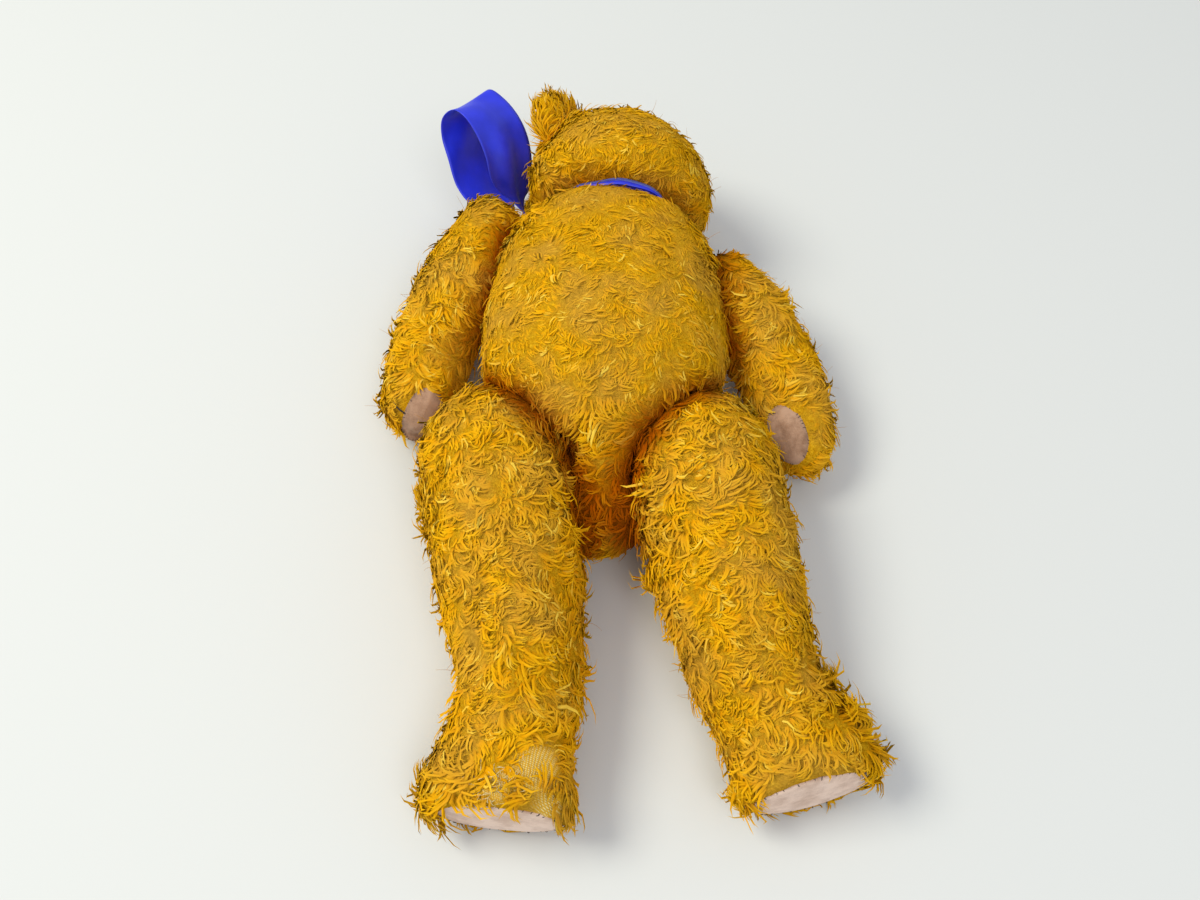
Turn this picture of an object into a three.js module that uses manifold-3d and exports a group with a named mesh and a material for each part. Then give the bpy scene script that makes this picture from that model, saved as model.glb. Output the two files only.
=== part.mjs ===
// Five-way jointed mohair teddy bear, lying face down. Millimetres, +Z up, head towards +Y, feet towards -Y.
import * as THREE from "three";
import { mergeVertices } from "three/addons/utils/BufferGeometryUtils.js";
import Module from "manifold-3d";

const wasm = await Module();
wasm.setup();

// Driving sizes.
const PLUSH = 3; // mohair cloth with the felted root of its pile
const GAP = 0.3; // left between pieces that touch
const RIBBON = 1; // satin, with its fold
const PIN_R = 1.6;
const PIN_HOLE_R = 2.3;
const DISC_THICK = 2.5;
const WASHER_THICK = 1;
const WASHER_R = 8;
const FELT = 2;

const v = (x, y, z) => new THREE.Vector3(x, y, z);
const unit = (x, y, z) => v(x, y, z).normalize();
const along = (from, direction, distance) => from.clone().addScaledVector(direction, distance);

// A three.js geometry as a solid for joining and cutting.
function solid(geometry) {
  const bare = new THREE.BufferGeometry().setAttribute("position", geometry.getAttribute("position").clone());
  if (geometry.index) bare.setIndex(geometry.index);
  const merged = mergeVertices(bare, 1e-4);
  const mesh = new wasm.Mesh({
    numProp: 3,
    vertProperties: merged.attributes.position.array,
    triVerts: new Uint32Array(merged.index.array),
  });
  return new wasm.Manifold(mesh);
}

function geometryOf(body) {
  const mesh = body.getMesh();
  const points = new Float32Array(mesh.numVert * 3);
  for (let i = 0; i < mesh.numVert; i++) {
    points.set(mesh.vertProperties.subarray(i * mesh.numProp, i * mesh.numProp + 3), i * 3);
  }
  const geometry = new THREE.BufferGeometry();
  geometry.setAttribute("position", new THREE.BufferAttribute(points, 3));
  geometry.setIndex(new THREE.BufferAttribute(mesh.triVerts, 1));
  const flat = geometry.toNonIndexed();
  flat.computeVertexNormals();
  return flat;
}

// A closed skin through rings. A ring is {at, across, up, toe, heel, side}: its half sizes along
// across, against across and along up. The rings run in the direction across x up.
function loft(first, rings, last, sides) {
  const points = [first, ...rings.flatMap((ring) => {
    return Array.from({ length: sides }, (_, k) => {
      const turn = (2 * Math.PI * k) / sides;
      const reach = Math.cos(turn) > 0 ? ring.toe : ring.heel;
      const point = along(ring.at, ring.across, reach * Math.cos(turn));
      return point.addScaledVector(ring.up, ring.side * Math.sin(turn));
    });
  }), last];
  const faces = [];
  const end = points.length - 1;
  for (let k = 0; k < sides; k++) {
    const next = (k + 1) % sides;
    faces.push(0, 1 + next, 1 + k);
    for (let r = 0; r + 1 < rings.length; r++) {
      const here = 1 + r * sides;
      const there = here + sides;
      faces.push(here + k, here + next, there + k);
      faces.push(here + next, there + next, there + k);
    }
    faces.push(end, end - sides + k, end - sides + next);
  }
  const geometry = new THREE.BufferGeometry();
  geometry.setAttribute("position", new THREE.Float32BufferAttribute(points.flatMap((p) => [p.x, p.y, p.z]), 3));
  geometry.setIndex(faces);
  return geometry;
}

// The same skin moved inwards (or outwards, if depth is negative).
function inset(geometry, depth) {
  const moved = geometry.clone();
  moved.computeVertexNormals();
  const position = moved.attributes.position;
  const normal = moved.attributes.normal;
  for (let i = 0; i < position.count; i++) {
    position.setXYZ(
      i,
      position.getX(i) - normal.getX(i) * depth,
      position.getY(i) - normal.getY(i) * depth,
      position.getZ(i) - normal.getZ(i) * depth,
    );
  }
  return moved;
}

// Turns a geometry's +Z to axis (and its +X towards side) and moves it to origin.
function placed(geometry, origin, axis, side = null) {
  const z = axis.clone().normalize();
  const guide = side ?? (Math.abs(z.z) < 0.9 ? v(0, 0, 1) : v(1, 0, 0));
  const x = along(guide, z, -guide.dot(z)).normalize();
  const y = z.clone().cross(x);
  return geometry.applyMatrix4(new THREE.Matrix4().makeBasis(x, y, z).setPosition(origin));
}

// A turned solid: profile is [radius, height] pairs that start and end on the axis.
function turned(profile, origin, axis, segments) {
  const lathe = new THREE.LatheGeometry(profile.map(([r, h]) => new THREE.Vector2(r, h)), segments);
  lathe.rotateX(Math.PI / 2);
  return solid(placed(lathe, origin, axis));
}

const rod = (origin, axis, from, to, r, segments = 6) =>
  turned([[0, from], [r, from], [r, to], [0, to]], origin, axis, segments);

// Everything on the far side of a plane.
function beyond(origin, normal) {
  const box = new THREE.BoxGeometry(600, 600, 400).translate(0, 0, 200);
  return solid(placed(box, origin, normal));
}

function ellipsePrism(halfLong, halfWide, from, to, origin, axis, side) {
  const shape = new THREE.Shape();
  shape.absellipse(0, 0, halfLong, halfWide, 0, 2 * Math.PI);
  const prism = new THREE.ExtrudeGeometry(shape, { depth: to - from, bevelEnabled: false, curveSegments: 9 });
  return solid(placed(prism.translate(0, 0, from), origin, axis, side));
}

// Joints: the meeting point of the two cloths, and the axis from the torso into the limb.
const neck = { at: v(2, 122, 57), axis: unit(0.12, 0.993, 0), disc: 26 };
const hipTilt = THREE.MathUtils.degToRad(20);
const legs = {
  left: {
    axisPoint: v(-66, -36, 43.5),
    down: unit(0.15, -0.985, -0.075),
    outward: -1,
    toe: v(-0.99, 0.12, -0.12),
    sole: v(-57, -224, 27),
    soleNormal: unit(-0.12, -0.99, 0.06),
    disc: 15.5,
  },
  right: {
    axisPoint: v(47, -40, 43.5),
    down: unit(0.19, -0.976, -0.085),
    outward: 1,
    toe: v(0.965, 0.26, -0.1),
    sole: v(95, -212, 27),
    soleNormal: unit(0.26, -0.96, 0.12),
    disc: 15.5,
  },
};
const THIGH_R = 41;
const HIP_DEPTH = 36; // from the middle of the thigh to the cloth of the torso
for (const leg of Object.values(legs)) {
  const rough = v(leg.outward * Math.cos(hipTilt), 0, Math.sin(hipTilt));
  leg.axis = along(rough, leg.down, -rough.dot(leg.down)).normalize();
  leg.at = along(leg.axisPoint, leg.axis, -HIP_DEPTH);
  leg.toe.addScaledVector(leg.soleNormal, -leg.toe.dot(leg.soleNormal)).normalize();
}
const arms = {
  left: {
    at: v(-60.4, 100.2, 49),
    axis: unit(-0.943, 0.333, 0),
    disc: 10.5,
    line: [
      [-71, 143, 52, 0], [-72.5, 139.5, 52, 11], [-74.5, 129.5, 51.5, 19.5], [-78.5, 110, 49.5, 24.5],
      [-88, 94, 43, 26.5], [-98.5, 75, 35, 25.5], [-108, 51, 29, 24.2], [-113, 27, 26.5, 22.6],
      [-116, 6, 24.5, 20], [-117, -2, 24, 11.5], [-117.2, -6, 24, 0],
    ],
    pad: { at: v(-114, 7, 25), axis: unit(0.36, -0.58, 0.73) },
  },
  right: {
    at: v(59.5, 75, 50),
    axis: unit(0.992, 0.12, 0),
    disc: 10.5,
    line: [
      [60, 98, 54, 0], [61.5, 95, 54, 10], [65, 86.5, 53, 16.5], [71, 75, 50, 20.5], [79.5, 61, 45, 23.6],
      [89, 43, 38.5, 24], [97.5, 25, 32.5, 23.5], [103.5, 6, 28.5, 21.8], [106.5, -13, 25.5, 19.8], [107, -28, 24, 13],
      [107, -34.5, 23.5, 0],
    ],
    pad: { at: v(108, -12, 25.5), axis: unit(-0.64, -0.18, 0.75) },
  },
};

// Torso: [y, x, z, half width, half height], neck to crotch.
const torsoLine = [
  [122.5, 2, 57, 33, 33], [118, 1.6, 57, 33.5, 33.5], [114.5, 0, 56, 50, 44.5], [106, -1.5, 54.5, 58, 49.5],
  [84, -4, 53.5, 66, 53.5], [44, -5.5, 53.5, 70.5, 55.5], [4, -6, 51.5, 67.5, 53.5], [-22, -7.5, 43.5, 56, 43.5],
  [-46, -8.5, 32.5, 42, 32], [-68, -8.5, 27.5, 29, 23], [-82, -9, 28.5, 13, 12],
];
const torsoRings = torsoLine.map(([y, x, z, wide, high], k) => {
  const lean = THREE.MathUtils.degToRad(Math.max(0, Math.min(7, 11 - k * 2)));
  return {
    at: v(x, y, z), across: v(Math.cos(lean), -Math.sin(lean), 0), up: v(0, 0, 1), toe: wide, heel: wide, side: high,
  };
});
const torsoSkin = loft(v(2, 123, 57), torsoRings, v(-9.5, -86, 30), 16);

// What the thighs need clear when they turn: a barrel round the hip, and the whole way towards the feet.
function hipClearance(leg, grow) {
  const profile = [0, 7, 18, 34].map((s) => {
    return [Math.sqrt(THIGH_R ** 2 - (HIP_DEPTH - s) ** 2) + 1.8 + grow, s - GAP - grow];
  });
  const barrel = turned([[0, -GAP - grow], ...profile, [THIGH_R + 2 + grow, 70], [0, 70]], leg.at, leg.axis, 14);
  const way = new THREE.BoxGeometry(200, 240, 80).translate(100, 0, 40 - GAP - grow);
  // Below the hip, the width of the thigh for when the leg points straight forward.
  const edge = [[5, -GAP - grow], [5, 70], ...profile.map(([r, s]) => [-r - 2, s]).reverse()];
  edge.splice(2, 0, [edge[2][0], 70]);
  const slot = new THREE.ExtrudeGeometry(new THREE.Shape(edge.map(([x, y]) => new THREE.Vector2(x, y))), {
    depth: 70,
    bevelEnabled: false,
  });
  if (leg.outward > 0) slot.translate(0, 0, -70);
  const basis = new THREE.Matrix4().makeBasis(leg.down, leg.axis, leg.down.clone().cross(leg.axis));
  slot.applyMatrix4(basis.setPosition(leg.at));
  return barrel.add(solid(placed(way, leg.at, leg.axis, leg.down))).add(solid(slot));
}

function torsoBody(depth) {
  let body = solid(inset(torsoSkin, depth));
  body = body.subtract(beyond(v(0, 0, depth), v(0, 0, -1)));
  for (const joint of [neck, arms.left, arms.right]) {
    body = body.subtract(beyond(along(joint.at, joint.axis, -GAP - depth), joint.axis));
  }
  for (const leg of Object.values(legs)) {
    body = body.subtract(hipClearance(leg, depth));
  }
  return body;
}

// Head: [height above the neck joint, radius, how far the brow fills it forward].
const faceTurn = THREE.MathUtils.degToRad(52); // towards the bear's left, from straight down
const headUp = neck.axis;
const faceGuide = v(-Math.sin(faceTurn), 0, -Math.cos(faceTurn));
const face = along(faceGuide, headUp, -faceGuide.dot(headUp)).normalize();
const headLeft = headUp.clone().cross(face);
const onHead = (up, front, left) =>
  along(along(along(neck.at, headUp, up), face, front), headLeft, left);
const headLine = [
  [0.1, 33, 0], [4, 34, 0], [6.5, 46.5, 0], [12, 53.5, 0], [20, 56, 0], [30, 55.5, 0.5], [42, 52, 2.5], [54, 45.5, 4.5],
  [65, 36, 6], [75.5, 22.5, 7],
];
const headRings = headLine.map(([up, r, front]) => {
  return { at: onHead(up, front, 0), across: headLeft, up: face.clone().negate(), toe: r, heel: r, side: r };
});
const headSkin = loft(onHead(0, 0, 0), headRings, onHead(83.3, 7.5, 0), 16);
const snoutLine = [[20, 25, 23], [46, 25, 22], [61, 22, 19.5], [71, 16, 14], [76, 8, 7]];
const snoutRings = snoutLine.map(([out, wide, high]) => {
  return { at: onHead(26, out, 0), across: headLeft, up: headUp, toe: wide, heel: wide, side: high };
});
const snoutSkin = loft(onHead(26, 12, 0), snoutRings, onHead(26, 77.5, 0), 12);

function headBody(depth) {
  const ball = solid(inset(headSkin, depth));
  return ball.add(solid(inset(snoutSkin, depth))).subtract(
    beyond(along(neck.at, neck.axis, GAP + depth), neck.axis.clone().negate()),
  );
}

// Ears: flat stuffed half discs at the corners of the crown. The right one is pressed up by the floor.
const ears = {
  left: { up: 0.53, left: 0.83, front: 0.36, out: 56 },
  right: { up: 0.6, left: -0.78, front: 0.1, out: 50 },
};
function earBody({ up, left, front, out: far }) {
  const out = along(along(headUp.clone().multiplyScalar(up), headLeft, left), face, front).normalize();
  const centre = along(onHead(29, 0, 0), out, far);
  const disc = new THREE.SphereGeometry(1, 12, 8).scale(17.5, 24, 5);
  const ear = solid(placed(disc, centre, face, out)).subtract(headBody(-GAP));
  return ear.decompose().sort((a, b) => b.volume() - a.volume())[0];
}

// Legs: a tapering round leg, then a foot whose rings turn from the leg's direction to the sole's.
const legLine = [
  [-39, 11], [-31, 26.5], [-18, 36.8], [0, THIGH_R], [30, 40.8], [64, 38.8], [96, 34.5], [119, 31],
];
const footLine = [
  [0.32, 32.5, 30.5, 29.5], [0.62, 38, 31.5, 28.5], [0.9, 40, 36, 27], [1, 36.5, 33, 24],
];
function legSkin(leg) {
  const across = along(leg.toe, leg.down, -leg.toe.dot(leg.down)).normalize();
  const up = leg.down.clone().cross(across);
  const rings = legLine.map(([s, r]) => {
    return { at: along(leg.axisPoint, leg.down, s), across, up, toe: r, heel: r, side: r };
  });
  const ankle = rings[rings.length - 1].at;
  const soleUp = leg.soleNormal.clone().cross(leg.toe);
  for (const [share, toe, heel, side] of footLine) {
    const mix = share * share;
    rings.push({
      at: ankle.clone().lerp(leg.sole, share),
      across: across.clone().lerp(leg.toe, mix).normalize(),
      up: up.clone().lerp(soleUp, mix).normalize(),
      toe,
      heel,
      side,
    });
  }
  return loft(along(leg.axisPoint, leg.down, -THIGH_R - 0.5), rings, along(leg.sole, leg.soleNormal, 0.3), 12);
}
for (const leg of Object.values(legs)) {
  leg.skin = legSkin(leg);
}

function legBody(leg, depth) {
  return solid(inset(leg.skin, depth))
    .subtract(beyond(along(leg.at, leg.axis, GAP + depth), leg.axis.clone().negate()))
    .subtract(beyond(along(leg.sole, leg.soleNormal, -depth), leg.soleNormal))
    .subtract(beyond(v(0, 0, depth + 0.2), v(0, 0, -1)));
}

// Arms: round tubes along a bent line, ending in a paw.
function armSkin(arm) {
  const points = arm.line.map(([x, y, z]) => v(x, y, z));
  const rings = arm.line.slice(1, -1).map(([, , , r], k) => {
    const down = points[k + 2].clone().sub(points[k]).normalize();
    const up = along(v(0, 0, 1), down, -down.z).normalize();
    return { at: points[k + 1], across: up.clone().cross(down), up, toe: r, heel: r, side: r * 0.95 };
  });
  return loft(points[0], rings, points[points.length - 1], 12);
}
for (const arm of Object.values(arms)) {
  arm.skin = armSkin(arm);
}

function armBody(arm, depth) {
  return solid(inset(arm.skin, depth))
    .subtract(beyond(along(arm.at, arm.axis, GAP + depth), arm.axis.clone().negate()));
}

// Joint hardware, from the middle of a joint outwards: cloth, disc, washer, pin head or curled ends.
const DISC_AT = PLUSH + 2 * GAP;
const WASHER_AT = DISC_AT + DISC_THICK + GAP;
const PIN_AT = WASHER_AT + WASHER_THICK + GAP;
const pinHole = (joint) => rod(joint.at, joint.axis, -20, 20, PIN_HOLE_R);

function plate(joint, side, at, thick, r, segments) {
  const axis = joint.axis.clone().multiplyScalar(side);
  return rod(joint.at, axis, at, at + thick, r, segments).subtract(pinHole(joint));
}

// A split pin: an eye on the limb's side, and two legs curled back onto the torso's washer.
function splitPin(joint) {
  let pin = turned(
    [[0, -PIN_AT - 5.2], [PIN_R, -PIN_AT - 5.2], [PIN_R, PIN_AT], [3.8, PIN_AT], [3.8, PIN_AT + 2], [0, PIN_AT + 2]],
    joint.at, joint.axis, 8,
  );
  for (const side of [1, -1]) {
    const curl = new THREE.Shape();
    curl.absarc(4, 0, 4.6, Math.PI, -0.9, true);
    curl.absarc(4, 0, 3.2, -0.9, Math.PI, false);
    const strip = new THREE.ExtrudeGeometry(curl, { depth: 2.2, bevelEnabled: false, curveSegments: 4 });
    strip.translate(0, 0, -1.1).rotateX(Math.PI / 2);
    if (side < 0) strip.rotateZ(Math.PI);
    const low = along(joint.at, joint.axis, -PIN_AT - 4.7);
    pin = pin.add(solid(placed(strip, low, joint.axis.clone().negate())));
  }
  return pin;
}

// The room that the hardware takes in the stuffing, on one side of a joint.
function pocket(joint, side) {
  const axis = joint.axis.clone().multiplyScalar(side);
  const room = joint.disc * 1.04 + 0.5;
  const r = side > 0 ? 5 : 10;
  const deep = side > 0 ? PIN_AT + 2.6 : PIN_AT + 9.8;
  return turned(
    [
      [0, 0], [room, 0], [room, WASHER_AT], [Math.max(WASHER_R + 1, r), WASHER_AT],
      [Math.max(WASHER_R + 1, r), PIN_AT], [r, deep], [0, deep],
    ],
    joint.at, axis, 12,
  );
}

// Ribbon: a strip of satin that runs from rim to rim of a loop.
function strip(rims, thick, steps) {
  const [near, far] = rims.map((rim) => {
    return new THREE.CatmullRomCurve3(rim.map(([x, y, z]) => v(x, y, z)), false, "centripetal");
  });
  const middle = (t) => near.getPoint(t).lerp(far.getPoint(t), 0.5);
  const corners = [];
  for (let k = 0; k <= steps; k++) {
    const t = k / steps;
    const run = middle(Math.min(1, t + 0.01)).sub(middle(Math.max(0, t - 0.01)));
    const off = run.cross(far.getPoint(t).sub(near.getPoint(t))).normalize().multiplyScalar(thick / 2);
    corners.push(near.getPoint(t).add(off), far.getPoint(t).add(off));
    corners.push(far.getPoint(t).sub(off), near.getPoint(t).sub(off));
  }
  const faces = [];
  for (let k = 0; k < steps; k++) {
    for (let side = 0; side < 4; side++) {
      const a = k * 4 + side;
      const b = k * 4 + ((side + 1) % 4);
      faces.push(a, a + 4, b, b, a + 4, b + 4);
    }
  }
  const end = steps * 4;
  faces.push(0, 1, 2, 0, 2, 3, end, end + 2, end + 1, end, end + 3, end + 2);
  const geometry = new THREE.BufferGeometry();
  geometry.setAttribute("position", new THREE.Float32BufferAttribute(corners.flatMap((p) => [p.x, p.y, p.z]), 3));
  geometry.setIndex(faces);
  return solid(geometry);
}

// The bow's loop, from the knot up beside the head, over and back: near rim, then far rim.
const bowRims = [
  [
    [-34, 125.4, 40], [-44, 129.5, 44], [-54, 138, 48.5], [-63.4, 145.4, 54], [-70.9, 145.4, 63], [-74.4, 146.4, 73],
    [-76.9, 153.4, 82.5], [-81.9, 162.9, 90], [-89.4, 172.9, 96], [-97.9, 180.4, 95.5], [-105.4, 181.4, 87.5],
    [-106.7, 176.9, 77], [-103.4, 167.9, 67], [-98.4, 156.3, 54.4], [-88.4, 147.4, 46.5], [-74.4, 146.9, 42],
    [-57.4, 138.4, 38], [-34.5, 125, 34.5],
  ],
  [
    [-35.5, 126.8, 37.5], [-49.6, 138, 35], [-56, 147.4, 37], [-57.4, 157.9, 41], [-53.9, 163.4, 46], [-52.4, 167.9, 55],
    [-52.4, 174.9, 66], [-54.9, 182.9, 75], [-60.4, 191.9, 81.5], [-68.4, 200.4, 86], [-77.4, 205.29, 89],
    [-84.4, 204.4, 81], [-84.4, 198.4, 67], [-78.4, 188.9, 50], [-70.4, 176.9, 38], [-64.4, 162.9, 33],
    [-60.5, 146.4, 31.5], [-36, 126.4, 33],
  ],
];
const knotOut = unit(-0.854, 0.103, -0.51);
const knotAt = along(neck.at, knotOut, 39.6);
function ribbonBody() {
  const band = turned(
    [[35.2, -2.5], [36.8, -2.5], [36.8, 2.5], [35.2, 2.5], [35.2, -2.5]], neck.at, neck.axis, 20,
  );
  const lump = new THREE.SphereGeometry(1, 10, 6).scale(9, 4, 4.4);
  const knot = solid(placed(lump, knotAt, knotOut, neck.axis.clone().cross(knotOut)));
  return band.add(knot).add(strip(bowRims, RIBBON, 40));
}

const bear = new THREE.Group();
bear.name = "teddy_bear";
const finish = {
  mohair: { color: 0xcb9320, roughness: 1 },
  woodWool: { color: 0xc9b27c, roughness: 1 },
  felt: { color: 0xc9a98c, roughness: 1 },
  board: { color: 0x7a5c3c, roughness: 0.9 },
  steel: { color: 0x8d8f92, roughness: 0.4, metalness: 1 },
  thread: { color: 0x1d1815, roughness: 0.8 },
  glass: { color: 0x3a1c0a, roughness: 0.1 },
  satin: { color: 0x2c35b8, roughness: 0.4 },
};
function add(name, body, look) {
  const mesh = new THREE.Mesh(geometryOf(body), new THREE.MeshStandardMaterial(finish[look]));
  mesh.name = name;
  bear.add(mesh);
}

function addJoint(name, joint) {
  add(`${name}_torso_disc`, plate(joint, -1, DISC_AT, DISC_THICK, joint.disc, 14), "board");
  add(`${name}_limb_disc`, plate(joint, 1, DISC_AT, DISC_THICK, joint.disc, 14), "board");
  add(`${name}_torso_washer`, plate(joint, -1, WASHER_AT, WASHER_THICK, WASHER_R, 8), "steel");
  add(`${name}_limb_washer`, plate(joint, 1, WASHER_AT, WASHER_THICK, WASHER_R, 8), "steel");
  add(`${name}_split_pin`, splitPin(joint), "steel");
}

const joints = {
  neck, left_shoulder: arms.left, right_shoulder: arms.right, left_hip: legs.left, right_hip: legs.right,
};

// Torso.
let torsoCover = torsoBody(0).subtract(torsoBody(PLUSH));
let torsoStuffing = torsoBody(PLUSH + GAP);
for (const joint of Object.values(joints)) {
  torsoCover = torsoCover.subtract(pinHole(joint));
  torsoStuffing = torsoStuffing.subtract(pocket(joint, -1));
}
add("torso_cover", torsoCover, "mohair");
add("torso_stuffing", torsoStuffing, "woodWool");

// Head with its face.
let headCover = headBody(0).subtract(headBody(PLUSH)).subtract(pinHole(neck));
let headStuffing = headBody(PLUSH + GAP).subtract(pocket(neck, 1));
const faceShell = (from, to) => headBody(-to).subtract(headBody(-from));
for (const [name, sideways] of [["left", 1], ["right", -1]]) {
  const out = along(along(face, headUp, 0.3), headLeft, 0.42 * sideways).normalize();
  const seat = along(onHead(29, 0, 0), out, 57.6);
  const eye = turned([[0, -10], [1.2, -10], [1.2, 0], [6.5, 0], [6.2, 2], [4.2, 4.2], [0, 5]], seat, out, 16);
  headCover = headCover.subtract(rod(seat, out, -12, 3, 1.7));
  headStuffing = headStuffing.subtract(rod(seat, out, -10.5, 3, 1.7));
  add(`${name}_eye`, eye, "glass");
  add(`${name}_ear`, earBody(ears[name]), "mohair");
}
add("head_cover", headCover, "mohair");
add("head_stuffing", headStuffing, "woodWool");
const nosePatch = ellipsePrism(9, 5.5, 60, 90, onHead(31, 0, 0), face, headLeft);
add("nose_stitching", faceShell(GAP, 2).intersect(nosePatch), "thread");
const mouthShape = new THREE.Shape();
[[-1, -1], [-9, -6], [-8, -7.4], [0, -2.6], [8, -7.4], [9, -6], [1, -1], [1, 9], [-1, 9]].forEach(([x, y], k) => {
  if (k) mouthShape.lineTo(x, y);
  else mouthShape.moveTo(x, y);
});
const mouthPrism = new THREE.ExtrudeGeometry(mouthShape, { depth: 40, bevelEnabled: false }).translate(0, 0, 50);
const mouthCut = solid(placed(mouthPrism, onHead(15.5, 0, 0), face, headLeft.clone().negate()));
add("mouth_stitching", faceShell(GAP, 1.5).intersect(mouthCut), "thread");
add("neck_ribbon", ribbonBody(), "satin");

// Arms with felt paw pads let into the cloth.
for (const [name, arm] of Object.entries(arms)) {
  const run = v(0, 1, 0);
  const shell = armBody(arm, 0).subtract(armBody(arm, PLUSH));
  const opening = ellipsePrism(18, 11.5, 0, 60, arm.pad.at, arm.pad.axis, run);
  add(`${name}_arm_cover`, shell.subtract(pinHole(arm)).subtract(opening), "mohair");
  const felt = armBody(arm, 0.5).subtract(armBody(arm, 0.5 + FELT));
  add(`${name}_paw_pad`, felt.intersect(ellipsePrism(17.6, 11.1, 0, 60, arm.pad.at, arm.pad.axis, run)), "felt");
  add(`${name}_arm_stuffing`, armBody(arm, PLUSH + GAP).subtract(pocket(arm, 1)), "woodWool");
}

// Legs with felt soles let into the cloth.
for (const [name, leg] of Object.entries(legs)) {
  const shell = legBody(leg, 0).subtract(legBody(leg, PLUSH));
  const opening = ellipsePrism(32, 20.5, -PLUSH - 1, 5, leg.sole, leg.soleNormal, leg.toe);
  add(`${name}_leg_cover`, shell.subtract(pinHole(leg)).subtract(opening), "mohair");
  add(`${name}_foot_pad`, ellipsePrism(31.6, 20.1, -FELT - 0.5, -0.5, leg.sole, leg.soleNormal, leg.toe), "felt");
  add(`${name}_leg_stuffing`, legBody(leg, PLUSH + GAP).subtract(pocket(leg, 1)), "woodWool");
}

for (const [name, joint] of Object.entries(joints)) {
  addJoint(name, joint);
}

// Origin under the middle of the whole bear.
bear.updateMatrixWorld(true);
const bounds = new THREE.Box3().setFromObject(bear, true);
bear.position.set(-(bounds.min.x + bounds.max.x) / 2, -(bounds.min.y + bounds.max.y) / 2, -bounds.min.z);

export default bear;
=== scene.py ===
import itertools
import math

import bpy
import numpy as np
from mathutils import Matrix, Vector
from mathutils.bvhtree import BVHTree


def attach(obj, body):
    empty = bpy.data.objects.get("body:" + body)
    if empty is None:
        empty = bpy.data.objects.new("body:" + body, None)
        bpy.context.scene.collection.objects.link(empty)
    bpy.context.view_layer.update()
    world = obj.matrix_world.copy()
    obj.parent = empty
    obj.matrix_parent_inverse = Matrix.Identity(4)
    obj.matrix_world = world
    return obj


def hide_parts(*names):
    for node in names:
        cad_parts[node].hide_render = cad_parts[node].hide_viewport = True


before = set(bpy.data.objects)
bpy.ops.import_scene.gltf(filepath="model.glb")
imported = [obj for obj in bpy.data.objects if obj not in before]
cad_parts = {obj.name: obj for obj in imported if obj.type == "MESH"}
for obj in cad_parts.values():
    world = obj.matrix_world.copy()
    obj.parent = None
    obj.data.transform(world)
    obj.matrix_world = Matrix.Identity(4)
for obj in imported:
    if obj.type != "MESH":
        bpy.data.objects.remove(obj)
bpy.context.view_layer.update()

mm = 0.001

# ---- view, floor and light ----

view = {"place": (-0.0059, -0.3229, 0.572), "downDegrees": 60.0, "lens": 33.0, "exposure": 0.0}
studio = {
    "floorHex": "#DCDEDC",
    "skyHex": "#F6F9FF",
    "skyStrength": 0.58,
    "lamps": [
        # name, place, aim, size, watts, hex
        ("key_softbox", (-1.4, 0.1, 2.0), (0.0, 0.0, 0.05), 1.1, 36.0, "#FFFDEE"),
        ("fill_softbox", (0.45, -1.2, 1.9), (0.0, -0.05, 0.05), 1.0, 11.0, "#F6F8FF"),
    ],
}


def linear(hexCode):
    parts = [int(hexCode[i : i + 2], 16) / 255 for i in (1, 3, 5)]
    return tuple([p / 12.92 if p <= 0.04045 else ((p + 0.055) / 1.055) ** 2.4 for p in parts] + [1.0])


def addNode(tree, kind, settings=None, links=None):
    node = tree.nodes.new(kind)
    for key, value in (settings or {}).items():
        if isinstance(key, str) and hasattr(node, key):
            setattr(node, key, value)
        else:
            node.inputs[key].default_value = value
    for key, source in (links or {}).items():
        tree.links.new(source, node.inputs[key])
    return node


def ramp(node, stops):
    elements = node.color_ramp.elements
    while len(elements) < len(stops):
        elements.new(0.5)
    for element, (place, hexCode) in zip(elements, stops):
        element.position = place
        element.color = linear(hexCode)
    return node.outputs[0]


def startMaterial(name, settings):
    material = bpy.data.materials.new(name)
    material.use_nodes = True
    tree = material.node_tree
    shader = tree.nodes["Principled BSDF"]
    for key, value in settings.items():
        shader.inputs[key].default_value = value
    return material, tree, shader


def setStage():
    scene = bpy.context.scene
    scene.view_settings.view_transform = "Standard"
    scene.view_settings.exposure = view["exposure"]
    camera = bpy.data.objects.new("camera", bpy.data.cameras.new("camera"))
    camera.location = view["place"]
    camera.rotation_euler = (math.radians(90 - view["downDegrees"]), 0, 0)
    camera.data.lens = view["lens"]
    camera.data.clip_start = 0.01
    scene.collection.objects.link(camera)
    scene.camera = camera
    world = bpy.data.worlds.new("studio")
    world.use_nodes = True
    sky = world.node_tree.nodes["Background"]
    sky.inputs["Color"].default_value = linear(studio["skyHex"])
    sky.inputs["Strength"].default_value = studio["skyStrength"]
    scene.world = world
    for name, place, aim, size, watts, hexCode in studio["lamps"]:
        lamp = bpy.data.lights.new(name, "AREA")
        lamp.shape = "DISK"
        lamp.size = size
        lamp.energy = watts
        lamp.color = linear(hexCode)[:3]
        holder = bpy.data.objects.new(name, lamp)
        holder.location = place
        holder.rotation_euler = (Vector(aim) - Vector(place)).to_track_quat("-Z", "Y").to_euler()
        scene.collection.objects.link(holder)
    mesh = bpy.data.meshes.new("floor")
    wide = 4.0
    mesh.from_pydata(
        [(-wide, -wide, 0), (wide, -wide, 0), (wide, wide, 0), (-wide, wide, 0)], [], [(0, 1, 2, 3)]
    )
    floor = bpy.data.objects.new("floor", mesh)
    scene.collection.objects.link(floor)
    paper, tree, shader = startMaterial(
        "matt_backdrop_paper", {"Roughness": 0.9, "Specular IOR Level": 0.1}
    )
    shader.inputs["Base Color"].default_value = linear(studio["floorHex"])
    mesh.materials.append(paper)


setStage()
print("stage set")

# ---- materials ----

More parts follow.
